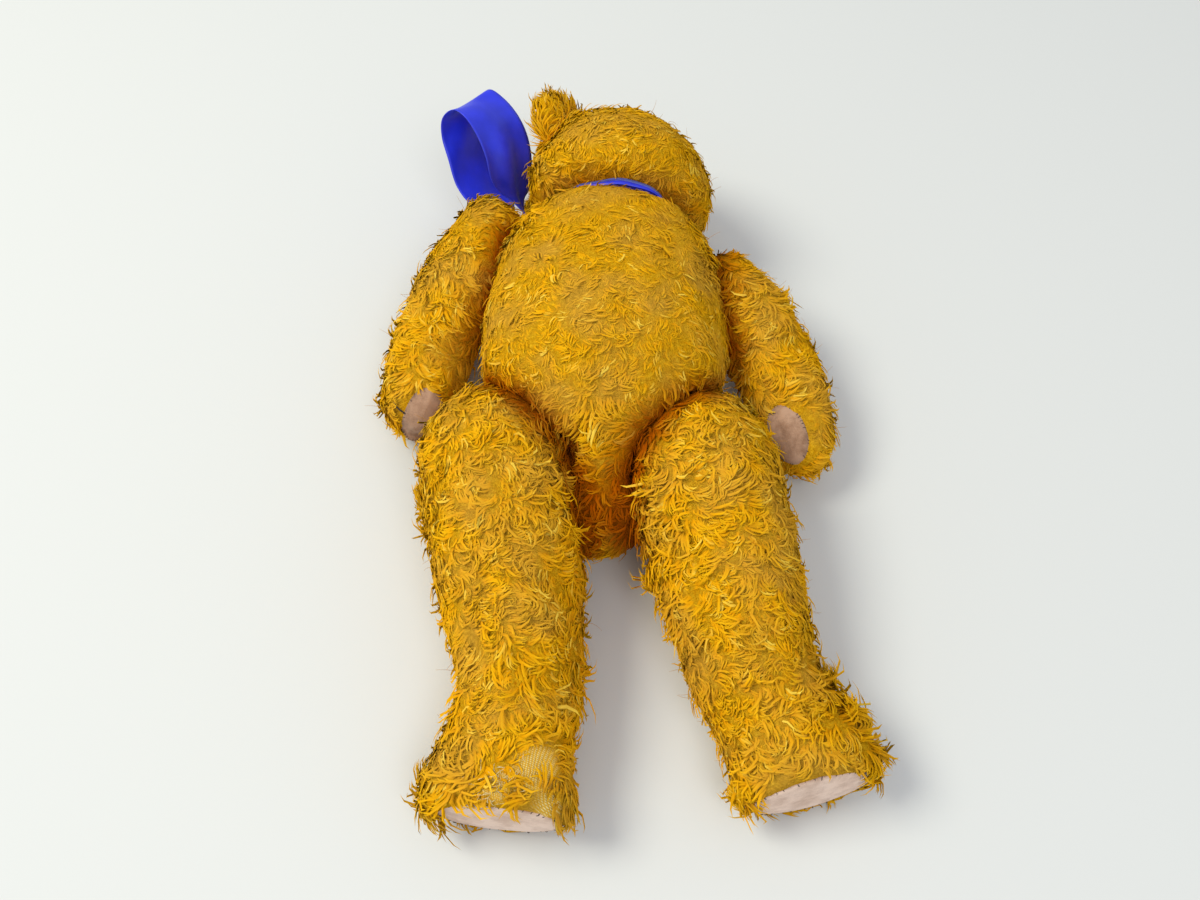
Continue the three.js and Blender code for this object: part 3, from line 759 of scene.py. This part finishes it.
def growPile(name, body, skin, style, napAt, shareAt, tufts, others, seed):
    # tufts: place in millimetres, radius, length factor, more lift in degrees
    random = np.random.default_rng(seed)
    roots, normals = scatter(skin, style["locks"], shareAt, random)
    room, near = roomAround(roots, normals, others)
    kept = room > 1.4 * mm
    roots, normals, room, near = roots[kept], normals[kept], room[kept], near[kept]
    count = len(roots)
    # locks share the way of the tuft they stand in
    leaders = random.permutation(count)[: count // style["tuft"]]
    leaderOf = np.empty(count, int)
    for begin in range(0, count, 1000):
        part = roots[begin : begin + 1000]
        away = ((part[:, None] - roots[leaders][None]) ** 2).sum(2)
        leaderOf[begin : begin + 1000] = leaders[np.argmin(away, axis=1)]
    pick = lambda low, high: random.uniform(low, high, count)
    shared = lambda own, weight: own[leaderOf] * weight + own * (1 - weight)
    nap = napAt(roots / mm)
    tangent = unit(nap - normals * (nap * normals).sum(1, keepdims=True))
    side = np.cross(normals, tangent)
    swirl = (
        drift(
            roots, 17 * mm, seed + 1
        )[:, 0] * style["wander"] * 2 + random.normal(0, style["stray"], count)
    )
    swirl = shared(swirl, 0.7)
    curlWay = np.sign(drift(roots, 9 * mm, seed + 2)[:, 0] + 0.02)
    curl = shared(pick(*style["curl"]) * curlWay, 0.75)
    lift = np.radians(shared(pick(*style["lift"]), 0.6))
    tall = random.uniform(0, 1, count) < style["long"]
    longer, higher = np.ones(count), np.zeros(count)
    for place, radius, factor, degrees in tufts:
        inside = np.exp(-((np.linalg.norm(roots / mm - np.array(place), axis=1) / radius) ** 2))
        longer += inside * (factor - 1)
        higher += inside * math.radians(degrees)
    length = shared(pick(*style["lengthMm"]), 0.5) * longer * np.where(tall, 1.35, 1.0) * mm
    lift = np.where(tall, lift + math.radians(18), lift) + higher
    low = np.clip(room / (4.5 * mm), 0.2, 1.0)
    lift = lift * low
    width = pick(*style["widthMm"]) * mm * np.clip(length / (8 * mm), 0.7, 1.5)
    shade = np.clip(shared(random.uniform(0, 1, count), 0.55), 0, 1)
    # walk each lock from its root to its tip
    stops = lock["rings"] + [1.0]
    at = roots - normals * lock["rootMm"] * mm
    centres, ways = [], []
    previous = 0.0
    for stop in stops:
        mid = (previous + stop) / 2
        yaw = swirl + curl * mid**1.4
        pitch = lift * (1.25 - 1.1 * mid) + 0.35 * (1 - mid) ** 4 - 0.14 * mid
        way = (
            tangent * (np.cos(pitch) * np.cos(yaw))[:, None]
            + side * (np.cos(pitch) * np.sin(yaw))[:, None]
            + normals * np.sin(pitch)[:, None]
        )
        at = at + way * (length * (stop - previous))[:, None]
        gather = (roots[leaderOf] - roots) * style["pull"] * stop**1.5
        centres.append(at + gather)
        ways.append(way)
        previous = stop
    twist = pick(0, 2 * math.pi)
    points = np.empty((count, 3 * len(lock["rings"]) + 1, 3))
    strand = np.empty((count, 3 * len(lock["rings"]) + 1, 3))
    along = np.empty((count, 3 * len(lock["rings"]) + 1))
    number = np.arange(count)
    for k, (stop, wide) in enumerate(zip(lock["rings"], lock["widths"])):
        across = unit(np.cross(normals, ways[k]))
        up = np.cross(ways[k], across)
        for corner in range(3):
            turn = 2 * math.pi * corner / 3 - math.pi / 6 + twist * 0.1 + curl * stop * 0.2
            offset = across * np.cos(turn)[:, None] + up * (np.sin(turn) * lock["flatness"])[:, None]
            points[:, 3 * k + corner] = centres[k] + offset * (width * wide / 2)[:, None]
            strand[:, 3 * k + corner] = np.stack(
                [corner * 0.0009 + number * 0.013, stop * length * 0.12, number * 0.007], axis=1
            )
            along[:, 3 * k + corner] = stop
    points[:, -1] = centres[-1]
    strand[:, -1] = np.stack([0.0009 + number * 0.013, length * 0.12, number * 0.007], axis=1)
    along[:, -1] = 1.0
    # nothing goes through the floor: the hair under the bear lies flat
    flat = points[:, :, 2] < 2 * mm
    points[:, :, 2] = np.where(
        flat, 0.3 * mm + 1.7 * mm * np.exp((points[:, :, 2] - 2 * mm) / (1.7 * mm)), points[:, :, 2]
    )
    each = points.shape[1]
    faces = [[0, 2, 1]]
    sides = []
    for k in range(len(lock["rings"]) - 1):
        for corner in range(3):
            a, b = 3 * k + corner, 3 * k + (corner + 1) % 3
            sides.append([a, b, b + 3, a + 3])
    last = 3 * (len(lock["rings"]) - 1)
    faces += [[last + corner, last + (corner + 1) % 3, each - 1] for corner in range(3)]
    starts = (number * each)[:, None, None]
    threes = (starts + np.array(faces)[None]).reshape(-1, 3)
    fours = (starts + np.array(sides)[None]).reshape(-1, 4)
    mesh = bpy.data.meshes.new(name)
    mesh.vertices.add(count * each)
    mesh.vertices.foreach_set("co", points.ravel())
    mesh.loops.add(threes.size + fours.size)
    mesh.loops.foreach_set("vertex_index", np.concatenate([threes.ravel(), fours.ravel()]))
    mesh.polygons.add(len(threes) + len(fours))
    firsts = np.concatenate([np.arange(len(threes)) * 3, threes.size + np.arange(len(fours)) * 4])
    mesh.polygons.foreach_set("loop_start", firsts)
    mesh.update(calc_edges=True)
    mesh.validate()
    # the hair takes most of its light as the coat does, so a lock looks soft rather than round;
    # where the coat faces down, its direction is tipped up
    own = np.empty(count * each * 3)
    mesh.vertices.foreach_get("normal", own)
    coatNormal = np.repeat(normals, each, axis=0)
    coatNormal[:, 2] += np.clip(0.5 - coatNormal[:, 2], 0, 1.2)
    soft = lock["soft"]
    mesh.normals_split_custom_set_from_vertices(
        unit(unit(coatNormal) * soft + own.reshape(-1, 3) * (1 - soft))
    )
    mesh.attributes.new("along", "FLOAT", "POINT").data.foreach_set(
        "value", along.ravel().astype(np.float32)
    )
    mesh.attributes.new("shade", "FLOAT", "POINT").data.foreach_set(
        "value", np.repeat(shade, each).astype(np.float32)
    )
    # painted shade: how far each lock is darkened in its crease
    mesh.attributes.new("creaseShade", "FLOAT", "POINT").data.foreach_set(
        "value", np.repeat(paintedCreaseShade(roots, near), each)
    )
    mesh.attributes.new("strand", "FLOAT_VECTOR", "POINT").data.foreach_set(
        "vector", strand.ravel().astype(np.float32)
    )
    hair = link(name, mesh, body, pileLocks)
    print(name, count, "locks", 2 * len(fours) + len(threes), "triangles")
    return hair


trees = {}
for body in bodies:
    co, corners, _ = triangles(skins[body].data)
    trees[body] = BVHTree.FromPolygons(co.tolist(), corners.tolist())
# painted shade for the cloth as well: darker where another part is near and between the thighs
for body in bodies:
    co = triangles(skins[body].data)[0]
    up = np.tile([0.0, 0.0, 1.0], (len(co), 1))
    near = roomAround(co, up, [trees[b] for b in bodies if b != body])[1]
    skins[body].data.attributes.new("creaseShade", "FLOAT", "POINT").data.foreach_set(
        "value", paintedCreaseShade(co, near)
    )

# which way the hair lies, how dense it is and how long
limbs = {
    "left_arm": {"from": (-77, 123, 50), "to": (-115, 17, 25), "pad": "left_paw_pad"},
    "right_arm": {"from": (67, 99, 53), "to": (112, -8, 25), "pad": "right_paw_pad"},
    "left_leg": {"from": (-64, -25, 43), "to": (-45, -190, 30), "pad": "left_foot_pad"},
    "right_leg": {"from": (49, -29, 43), "to": (85, -180, 30), "pad": "right_foot_pad"},
}
padKinds = {
    # half length and width, how far the felt swells, where the fur begins, stitches round the edge
    "foot": {"half": (31.4, 20.0), "domeMm": 1.2, "furMm": 31.5, "stitches": 76},
    "paw": {"half": (17.4, 11.0), "domeMm": 0.6, "furMm": 18, "stitches": 40},
}
pads = {
    # centre, axis and long direction
    "left_foot_pad": {
        "kind": "foot", "body": "left_leg",
        "at": (-54.6, -212.9, 27.0), "axis": (-0.12, -0.99, 0.06), "long": (-0.99, 0.12, -0.12),
    },
    "right_foot_pad": {
        "kind": "foot", "body": "right_leg",
        "at": (97.4, -200.9, 27.0), "axis": (0.26, -0.96, 0.12), "long": (0.965, 0.26, -0.1),
    },
    "left_paw_pad": {
        "kind": "paw", "body": "left_arm",
        "at": (-111.6, 18.1, 25.0), "axis": (0.36, -0.58, 0.73), "long": (0, 1, 0),
    },
    "right_paw_pad": {
        "kind": "paw", "body": "right_arm",
        "at": (110.4, -0.9, 25.5), "axis": (-0.64, -0.18, 0.75), "long": (0, 1, 0),
    },
}


def offPad(limb):
    pad = pads[limb["pad"]]
    centre, axis = np.array(pad["at"], float), unit(np.array(pad["axis"], float))
    furFrom = padKinds[pad["kind"]]["furMm"] * 0.99

    def share(points, facing):
        off = points - centre
        height = off @ axis
        radial = np.linalg.norm(off - height[:, None] * axis, axis=1)
        onPad = (radial < furFrom) & (facing @ axis > 0.55) & (height > -8)
        return np.where(onPad, 0.0, 1.0) * underside(points, facing) * furred(points)

    return share


def furred(points):
    share = np.ones(len(points))
    for place, radius, amount in worn["left_leg"]:
        away = np.linalg.norm(points - np.array(place), axis=1) / radius
        share *= 1 - amount * np.clip(1.5 - 1.2 * away, 0, 1)
    return share


def underside(points, facing):
    return np.where(facing[:, 2] < -0.3, 0.3, 1.0)


def oneWay(vector):
    way = unit(np.array(vector, float))
    return lambda points: np.tile(way, (len(points), 1))


tufts = {
    "torso": [
        ((-6, -62, 50), 30, 1.3, 14), ((-6, -25, 84), 16, 1.5, 16), ((-58, 112, 78), 16, 1.4, 14),
        ((58, 92, 80), 14, 1.4, 14), ((0, 118, 100), 22, 0.75, -4),
    ],
    "head": [
        ((-40, 200, 82), 20, 1.8, 30), ((-50, 165, 75), 16, 1.4, 16), ((10, 175, 20), 60, 0.9, 0),
        ((5, 140, 92), 22, 0.8, 0),
    ],
    "left_arm": [((-117, 10, 36), 20, 1.2, 8), ((-78, 112, 72), 22, 0.8, -6)],
    "right_arm": [((104, 85, 45), 9, 1.5, 20), ((122, 0, 30), 20, 0.8, -6)],
    "left_leg": [
        ((-105, -52, 38), 11, 1.5, 22), ((-11, -148, 35), 10, 1.6, 26), ((-86, -204, 18), 13, 1.7, 20),
        ((-92, -142, 32), 24, 0.7, -10), ((-28, -58, 62), 20, 1.5, 16), ((-75, -203, 44), 10, 1.9, 2),
        ((-54, -206, 48), 10, 1.7, 2), ((-34, -209, 46), 10, 1.8, 0), ((-28, -25, 75), 14, 1.5, 16),
    ],
    "right_leg": [
        ((116, -156, 52), 17, 1.9, 34), ((132, -168, 36), 13, 1.5, 20), ((17, -92, 38), 14, 1.7, 24),
        ((14, -60, 62), 20, 1.6, 18), ((62, -205, 20), 13, 1.4, 12), ((76, -206, 44), 11, 1.5, 2),
        ((97, -200, 48), 11, 1.5, 2), ((118, -193, 44), 11, 1.5, 2), ((98, -80, 35), 30, 0.75, -8),
    ],
}


growPile("torso_pile", "torso", skins["torso"], coat["torso"],
         oneWay((-0.25, -1, 0)), underside, tufts["torso"],
         [trees[b] for b in bodies if b != "torso"], 101)
growPile("head_pile", "head", skins["head"], coat["head"], oneWay((0.25, -1, 0)), underside, tufts["head"],
         [trees["torso"]], 102)
for number, (body, limb) in enumerate(limbs.items()):
    style = coat[body.split("_")[1]]
    nap = np.array(limb["to"], float) - np.array(limb["from"], float)
    others = [trees[b] for b in bodies if b != body]
    growPile(
        f"{body}_pile", body, skins[body], style, oneWay(nap), offPad(limb), tufts[body], others,
        110 + number
    )
for number, side in enumerate(("left", "right")):
    out = headUp * 0.51 + headLeft * (0.85 if side == "left" else -0.85) + face * 0.15
    growPile(
        f"{side}_ear_pile", "head", skins[f"{side}_ear"], coat["ear"], oneWay(out), underside, [], [],
        120 + number
    )
print("pile grown")

# ---- felt pads, let into the cloth and sewn round ----

def solidFrom(name, points, faces):
    mesh = bpy.data.meshes.new(name)
    mesh.from_pydata((np.asarray(points) * mm).tolist(), [], faces)
    mesh.validate()
    return mesh


def discGrid(rings, spokes):
    # places on a unit disc and the faces between them
    places = [(0.0, 0.0)]
    for ring in range(1, rings + 1):
        for spoke in range(spokes):
            turn = 2 * math.pi * spoke / spokes
            places.append((ring / rings * math.cos(turn), ring / rings * math.sin(turn)))
    faces = [(0, 1 + k, 1 + (k + 1) % spokes) for k in range(spokes)]
    for ring in range(rings - 1):
        a, b = 1 + ring * spokes, 1 + (ring + 1) * spokes
        faces += [(a + k, b + k, b + (k + 1) % spokes, a + (k + 1) % spokes) for k in range(spokes)]
    return np.array(places), faces


def closedSheet(points, normals, faces, rim, thick):
    # two faces and the edge between them
    count = len(points)
    both = np.concatenate([points + normals * thick / 2, points - normals * thick / 2])
    back = [tuple(reversed([i + count for i in face])) for face in faces]
    edge = [(rim[k - 1], rim[k - 1] + count, rim[k] + count, rim[k]) for k in range(len(rim))]
    return both, list(faces) + back + edge


def surfaceAt(tree, start, way):
    hit, normal, _, _ = tree.ray_cast(Vector(start * mm), Vector(way), 0.12)
    return (np.array(hit) / mm, np.array(normal)) if hit else (None, None)


def threads(name, body, paths, radii, material, sides=5):
    # round strands along paths; each radius may thin out along its strand
    points, faces = [], []
    for path, radius in zip(paths, radii):
        path = np.asarray(path, float)
        start = len(points)
        ways = unit(np.gradient(path, axis=0))
        guide = np.array([0.0, 0.0, 1.0]) if abs(ways[0][2]) < 0.8 else np.array([1.0, 0.0, 0.0])
        across = unit(np.cross(ways, guide))
        up = np.cross(ways, across)
        last = len(path) - 1
        for k in range(last + 1):
            size = radius[0] + (radius[1] - radius[0]) * k / last
            for side in range(sides):
                turn = 2 * math.pi * side / sides
                points.append(path[k] + (across[k] * math.cos(turn) + up[k] * math.sin(turn)) * size)
        for k in range(last):
            for side in range(sides):
                a, b = start + k * sides + side, start + k * sides + (side + 1) % sides
                faces.append((a, b, b + sides, a + sides))
        faces.append(tuple(start + side for side in reversed(range(sides))))
        faces.append(tuple(start + last * sides + side for side in range(sides)))
    thing = link(name, solidFrom(name, points, faces), body, material)
    return thing


for name, pad in pads.items():
    axis = unit(np.array(pad["axis"], float))
    longWay = np.array(pad["long"], float)
    kind = padKinds[pad["kind"]]
    half = kind["half"]
    longWay = unit(longWay - axis * longWay.dot(axis))
    wideWay = np.cross(axis, longWay)
    places, faces = discGrid(9, 48)
    cad, corners, _ = triangles(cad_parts[name].data)
    shell = BVHTree.FromPolygons(cad.tolist(), corners.tolist())
    points = []
    for x, y in places:
        flat = np.array(pad["at"]) + longWay * x * half[0] * 0.985 + wideWay * y * half[1] * 0.985
        top, _ = surfaceAt(shell, flat + axis * 40, -axis)
        swell = kind["domeMm"] * (1 - (x * x + y * y) ** 2)
        points.append((top if top is not None else flat) + axis * (swell - 0.5))
    points = np.array(points)
    points += drift(points, 7.0, 55)[:, :1] * axis * 0.25
    both, sides = closedSheet(
        points, np.tile(axis, (len(points), 1)), faces, list(range(len(places) - 48, len(places))), 1.4
    )
    material = soleFelt if name.endswith("foot_pad") else pawFelt
    sheet = link(name + "_felt", solidFrom(name + "_felt", both, sides), pad["body"], material)
    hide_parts(name)
    # backstitches over the edge
    paths, random = [], np.random.default_rng(61)
    stitches = kind["stitches"]
    rim = points[-48:]
    middle = points[0]
    for k in range(stitches):
        at = rim[int(k * 48 / stitches) % 48] + random.normal(0, 0.25, 3)
        inward = unit(middle - at)
        paths.append(
            [
                at + axis * 0.2 - inward * 0.4, at + axis * 0.85 + inward * 0.2,
                at + axis * 0.9 + inward * 0.8, at + axis * 0.3 + inward * 1.4
            ]
        )
    stitched = threads(
        f"{name}_stitches", pad["body"], paths, [(0.17, 0.17)] * len(paths), flossThread
    )
print("pads sewn")

# ---- face, turned down to the floor ----

headShell = trees["head"]
for side, sideways in (("left", 1), ("right", -1)):
    out = unit(face + headUp * 0.3 + headLeft * 0.42 * sideways)
    seat = onHead(29, 0, 0) + out * 57.6
    over = unit(np.cross(out, headUp))
    up = np.cross(over, out)
    profile = [
        (0.0, -10.0), (1.1, -10.0), (1.1, -0.2), (6.0, 0.0), (6.5, 0.7), (6.3, 1.9), (5.5, 3.2), (4.2, 4.2),
        (2.4, 4.8), (1.0, 5.0), (0.0, 5.05)
    ]
    points, faces, shares = [], [], []
    around = 48
    for radius, height in profile[1:-1]:
        for k in range(around):
            turn = 2 * math.pi * k / around
            points.append(seat + out * height + (over * math.cos(turn) + up * math.sin(turn)) * radius)
            shares.append(radius / 6.5 if height > 0 else 1.0)
    for ring in range(len(profile) - 3):
        for k in range(around):
            a, b = ring * around + k, ring * around + (k + 1) % around
            faces.append((a, b, b + around, a + around))
    points += [seat + out * profile[0][1], seat + out * profile[-1][1]]
    shares += [1.0, 0.0]
    low, high = len(points) - 2, len(points) - 1
    top = (len(profile) - 3) * around
    faces += [(low, (k + 1) % around, k) for k in range(around)]
    faces += [(high, top + k, top + (k + 1) % around) for k in range(around)]
    mesh = solidFrom(f"{side}_eye_glass", points, faces)
    mesh.attributes.new("out", "FLOAT", "POINT").data.foreach_set("value", np.array(shares, np.float32))
    eye = link(f"{side}_eye_glass", mesh, "head", brownGlass)
    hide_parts(f"{side}_eye")


def onFace(up, left, rise):
    hit, _ = surfaceAt(headShell, onHead(up, 110, left), -face)
    return hit + face * rise if hit is not None else onHead(up, 75, left)


nose = {"halfWide": 9.0, "halfHigh": 5.5, "stitches": 19, "threadMm": 0.55}
paths = []
for k in range(nose["stitches"]):
    left = (k / (nose["stitches"] - 1) * 2 - 1) * nose["halfWide"]
    reach = nose["halfHigh"] * math.sqrt(max(0.06, 1 - (left / (nose["halfWide"] + 0.4)) ** 2))
    steps = np.linspace(-1, 1, 7)
    paths.append([onFace(31 + reach * t, left, 0.9 * (1 - t**4) + 0.1) for t in steps])
noseFloss = threads(
    "nose_floss", "head", paths, [(nose["threadMm"], nose["threadMm"])] * len(paths), flossThread
)
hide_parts("nose_stitching")
mouth = {"threadMm": 0.5}
lines = [
    [(24.5, 0), (14, 0)], [(14.5, 0), (9, 8)], [(14.5, 0), (9, -8)], [(24.5, 0.8), (14, 0.8)],
    [(13.5, 0), (8.2, 7.4)], [(13.5, 0), (8.2, -7.4)]
]
paths = []
for (upA, leftA), (upB, leftB) in lines:
    steps = np.linspace(0, 1, 7)
    paths.append([onFace(upA + (upB - upA) * t, leftA + (leftB - leftA) * t, 0.5) for t in steps])
mouthFloss = threads(
    "mouth_floss", "head", paths, [(mouth["threadMm"], mouth["threadMm"])] * len(paths), flossThread,
)
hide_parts("mouth_stitching")
print("face made")

# ---- claws and loose threads ----

stitchLines = {
    # ends in millimetres, above the skin; the strand dips into the cloth at both ends
    "left_arm": [((-124.5, 16, 40), (-118.5, 8, 40))],
    "left_leg": [((-97, -178, 34), (-95.5, -192, 28))],
}
for body, lines in stitchLines.items():
    paths = []
    middle = np.array(limbs[body]["to"], float)
    for start, end in lines:
        path = []
        for t in np.linspace(0, 1, 7):
            place = np.array(start, float) * (1 - t) + np.array(end, float) * t
            way = unit(middle - place)
            hit, _ = surfaceAt(trees[body], place - way * 20, way)
            path.append((hit if hit is not None else place) - way * (2.2 * math.sin(math.pi * t) + 0.3))
        paths.append(path)
    threads(f"{body}_claw_thread", body, paths, [(0.45, 0.45)] * len(paths), flossThread)

# single hairs that stand off the coat
strays = {
    "torso": 110, "head": 110, "left_arm": 110, "right_arm": 110, "left_leg": 200, "right_leg": 220,
    "lengthMm": (6.0, 14.0), "radiusMm": 0.14,
}
for number, body in enumerate(bodies):
    random = np.random.default_rng(300 + number)
    roots, normals = scatter(skins[body], strays[body], underside, random)
    hidden = offPad(limbs[body])(roots / mm, normals) > 0 if body in limbs else np.ones(len(roots), bool)
    paths, radii = [], []
    for root, normal in zip(roots[hidden] / mm, normals[hidden]):
        blocked = any(
            trees[b].find_nearest(Vector(root * mm), 16 * mm)[3] is not None for b in bodies if b != body
        )
        if blocked or root[2] < 12:
            continue
        way = unit(normal * random.uniform(0.1, 0.7) + random.normal(0, 0.7, 3))
        way = way - normal * min(0.0, way.dot(normal) - 0.15)
        bend = random.normal(0, 0.3, 3)
        size = random.uniform(*strays["lengthMm"])
        path, at = [], root - normal * 0.5
        for k in range(7):
            path.append(at)
            at = at + unit(way) * size / 6
            way = unit(way + bend * 0.7 - np.array([0, 0, 0.08]))
        if min(p[2] for p in path) > 0.8:
            paths.append(path)
            radii.append((strays["radiusMm"], 0.05))
    threads(f"{body}_stray_hairs", body, paths, radii, pileLocks, 3)

# broken ends of the backing cloth's threads on the bare heel
fray = {
    "threads": 90, "at": (-52.0, -200.5, 50.0), "spreadMm": (7.0, 5.5), "lengthMm": (2.5, 7.0),
    "radiusMm": 0.16
}


def makeFray():
    material, tree, shader = startMaterial(
        "frayed_cotton_threads", {"Roughness": 0.8, "Specular IOR Level": 0.1}
    )
    place = addNode(tree, "ShaderNodeTexCoord").outputs["Object"]
    mottle = addNode(tree, "ShaderNodeTexNoise", {"Scale": 500.0, "Detail": 2.0}, {"Vector": place})
    colour = ramp(
        addNode(tree, "ShaderNodeValToRGB", {}, {0: mottle.outputs[0]}),
        [(0.35, "#E2C56A"), (0.6, "#F6EBBE")]
    )
    tree.links.new(colour, shader.inputs["Base Color"])
    return material


random = np.random.default_rng(71)
paths, radii = [], []
for _ in range(fray["threads"]):
    aim = np.array(fray["at"]) + np.array(
        [random.normal(0, fray["spreadMm"][0]), random.normal(0, fray["spreadMm"][1]), 0]
    )
    hit, normal = surfaceAt(
        trees["left_leg"], aim + np.array([0, -12, 40]), unit(np.array([0, 0.29, -0.96]))
    )
    if hit is None:
        continue
    way = unit(random.normal(0, 1, 3) + normal * 0.35)
    way = unit(way - normal * min(0.0, way.dot(normal)))
    size = random.uniform(*fray["lengthMm"])
    bend = random.normal(0, 0.25, 3)
    path, at = [], hit - normal * 0.3
    for k in range(6):
        path.append(at + normal * 0.5 * math.sin(k / 5 * math.pi))
        at = at + way * size / 5
        way = unit(way + bend - normal * 0.12)
    paths.append(path)
    radii.append((fray["radiusMm"], 0.08))
threads("heel_frayed_threads", "left_leg", paths, radii, makeFray(), 4)
print("loose hairs and threads laid")

# ---- ribbon: a 36 mm satin ribbon round the neck, tied in a bow with one loop in sight ----

ribbonShape = {
    "thickMm": 0.3, "fluteMm": 1.8, "creaseMm": 0.7, "stepsAlong": 150, "stepsAcross": 18,
    "near": [
        (-31.6, 136.5, 40), (-41.6, 140.6, 44), (-51.6, 149.1, 48.5), (-61, 156.5, 54),
        (-68.5, 156.5, 63), (-72, 157.5, 73),
        (-74.5, 164.5, 82.5), (-79.5, 174, 90), (-87, 184, 96), (-95.5, 191.5, 95.5), (-103, 192.5, 87.5),
        (-104.3, 188, 77), (-101, 179, 67), (-96, 167.4, 54.4), (-86, 158.5, 46.5), (-72, 158, 42),
        (-55, 149.5, 38), (-32.1, 136.1, 34.5),
    ],
    "far": [
        (-33.1, 137.9, 37.5), (-47.2, 149.1, 35), (-53.6, 158.5, 37), (-55, 169, 41),
        (-51.5, 174.5, 46), (-50, 179, 55),
        (-50, 186, 66), (-52.5, 194, 75), (-58, 203, 81.5), (-66, 211.5, 86), (-75, 216.3, 89),
        (-82, 215.5, 81), (-82, 209.5, 67), (-76, 200, 50), (-68, 188, 38), (-62, 174, 33),
        (-58.1, 157.5, 31.5), (-33.6, 137.5, 33),
    ],
}


def smoothLine(points, count):
    # a soft curve through the points
    points = np.array(points, float)
    t = np.linspace(0, len(points) - 1, count)
    low = np.minimum(t.astype(int), len(points) - 2)
    u = (t - low)[:, None]
    before = points[np.maximum(low - 1, 0)]
    here, there = points[low], points[low + 1]
    after = points[np.minimum(low + 2, len(points) - 1)]
    return 0.5 * (
        2 * here
        + (there - before) * u
        + (2 * before - 5 * here + 4 * there - after) * u**2
        + (3 * here - before - 3 * there + after) * u**3
    )


def sheetGrid(name, grid, closed, thick):
    # grid: rows along the ribbon, columns across it
    rows, columns = grid.shape[:2]
    run = np.gradient(grid, axis=0)
    if closed:
        run = (np.roll(grid, -1, axis=0) - np.roll(grid, 1, axis=0)) / 2
    normals = unit(np.cross(run, np.gradient(grid, axis=1)))
    faces = []
    for i in range(rows if closed else rows - 1):
        j = (i + 1) % rows
        faces += [
            (i * columns + k, j * columns + k, j * columns + k + 1, i * columns + k + 1)
            for k in range(columns - 1)
        ]
    count = rows * columns
    points, normals = grid.reshape(-1, 3), normals.reshape(-1, 3)
    both = np.concatenate([points + normals * thick / 2, points - normals * thick / 2])
    back = [tuple(reversed([i + count for i in face])) for face in faces]
    edge = []
    for i in range(rows if closed else rows - 1):
        j = (i + 1) % rows
        for k in (0, columns - 1):
            a, b = i * columns + k, j * columns + k
            edge.append((b, a, a + count, b + count) if k == 0 else (a, b, b + count, a + count))
    if not closed:
        for i in (0, rows - 1):
            for k in range(columns - 1):
                a, b = i * columns + k, i * columns + k + 1
                edge.append((a, b, b + count, a + count) if i == 0 else (b, a, a + count, b + count))
    mesh = solidFrom(name, both, faces + back + edge)
    along = np.repeat(np.arange(rows) * 0.0017, columns)
    across = np.tile(np.linspace(0, 0.036, columns), rows)
    place = np.stack([along, across, np.zeros(count)], axis=1)
    mesh.attributes.new("run", "FLOAT_VECTOR", "POINT").data.foreach_set(
        "vector", np.concatenate([place, place]).ravel().astype(np.float32)
    )
    thing = link(name, mesh, "head", satinWeave)
    return thing


near = smoothLine(ribbonShape["near"], ribbonShape["stepsAlong"])
far = smoothLine(ribbonShape["far"], ribbonShape["stepsAlong"])
share = np.linspace(0, 1, ribbonShape["stepsAcross"])[None, :, None]
grid = near[:, None] * (1 - share) + far[:, None] * share
t = np.linspace(0, 1, len(near))[:, None, None]
normal = unit(np.cross(np.gradient(grid, axis=0), np.gradient(grid, axis=1)))
flutes = np.sin(share * 2 * math.pi * 1.5 + 0.6) * np.exp(-((t - 0.3) / 0.14) ** 2) * ribbonShape["fluteMm"]
gathers = (
    np.sin(share * 2 * math.pi * 2.5 + 1.2) * (
        np.exp(-(t / 0.1) ** 2) + np.exp(-((1 - t) / 0.12) ** 2)
    ) * 2.0
)
creases = np.sin(t * 46 + share * 2.5) * np.exp(-((t - 0.72) / 0.1) ** 2) * ribbonShape["creaseMm"]
edge = np.clip(np.minimum(share, 1 - share) * 6, 0, 1)
grid = grid + normal * (flutes + gathers * edge + creases * edge)
bowLoop = sheetGrid("bow_loop", grid, False, ribbonShape["thickMm"])
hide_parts("neck_ribbon")


def pleated(centre, axis, out, radius, squeeze, halfWide, folds, step, seed, rows):
    # a ribbon folded to and fro, wrapped once round an oval
    side = np.cross(axis, out)
    random = np.random.default_rng(seed)
    waves = random.uniform(0, 2 * math.pi, (4, 2))
    grid = np.empty((rows, 2 * folds + 1, 3))
    for i in range(rows):
        turn = 2 * math.pi * i / rows
        wobble = sum(math.sin(turn * (3 + 2 * k) + waves[k][0]) for k in range(4)) * 0.25
        shift = sum(math.sin(turn * (2 + 3 * k) + waves[k][1]) for k in range(4)) * 0.22 * halfWide / 3
        for k in range(2 * folds + 1):
            r = radius + step * k + wobble
            h = (halfWide if k % 2 else -halfWide) * (0.82 + 0.18 * math.sin(turn * 5 + k * 1.9)) + shift
            grid[i, k] = centre + out * math.cos(turn) * r + side * math.sin(turn) * r * squeeze + axis * h
    return grid


collar = pleated(neckAt - headUp * 0.6, headUp, headLeft, 35.4, 1.0, 3.0, 3, 0.62, 5, 160)
sheetGrid("neck_collar", collar, True, 0.25)
knotOut = np.array([-0.854, 0.103, -0.51])
knotWay = np.cross(headUp, knotOut)
knotAt = neckAt + knotOut * 39.4
knot = pleated(knotAt, unit(knotWay), knotOut, 3.4, 1.0, 5.2, 2, 0.35, 8, 40)
sheetGrid("bow_knot", knot, True, 0.25)
print("ribbon tied")

# ---- joint hardware, hidden inside ----

for node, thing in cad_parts.items():
    finish = (
        hardboard if node.endswith("_disc") else steelWire if node.endswith(
            ("_washer", "_split_pin")
        ) else None
    )
    if finish:
        thing.data.materials.clear()
        thing.data.materials.append(finish)

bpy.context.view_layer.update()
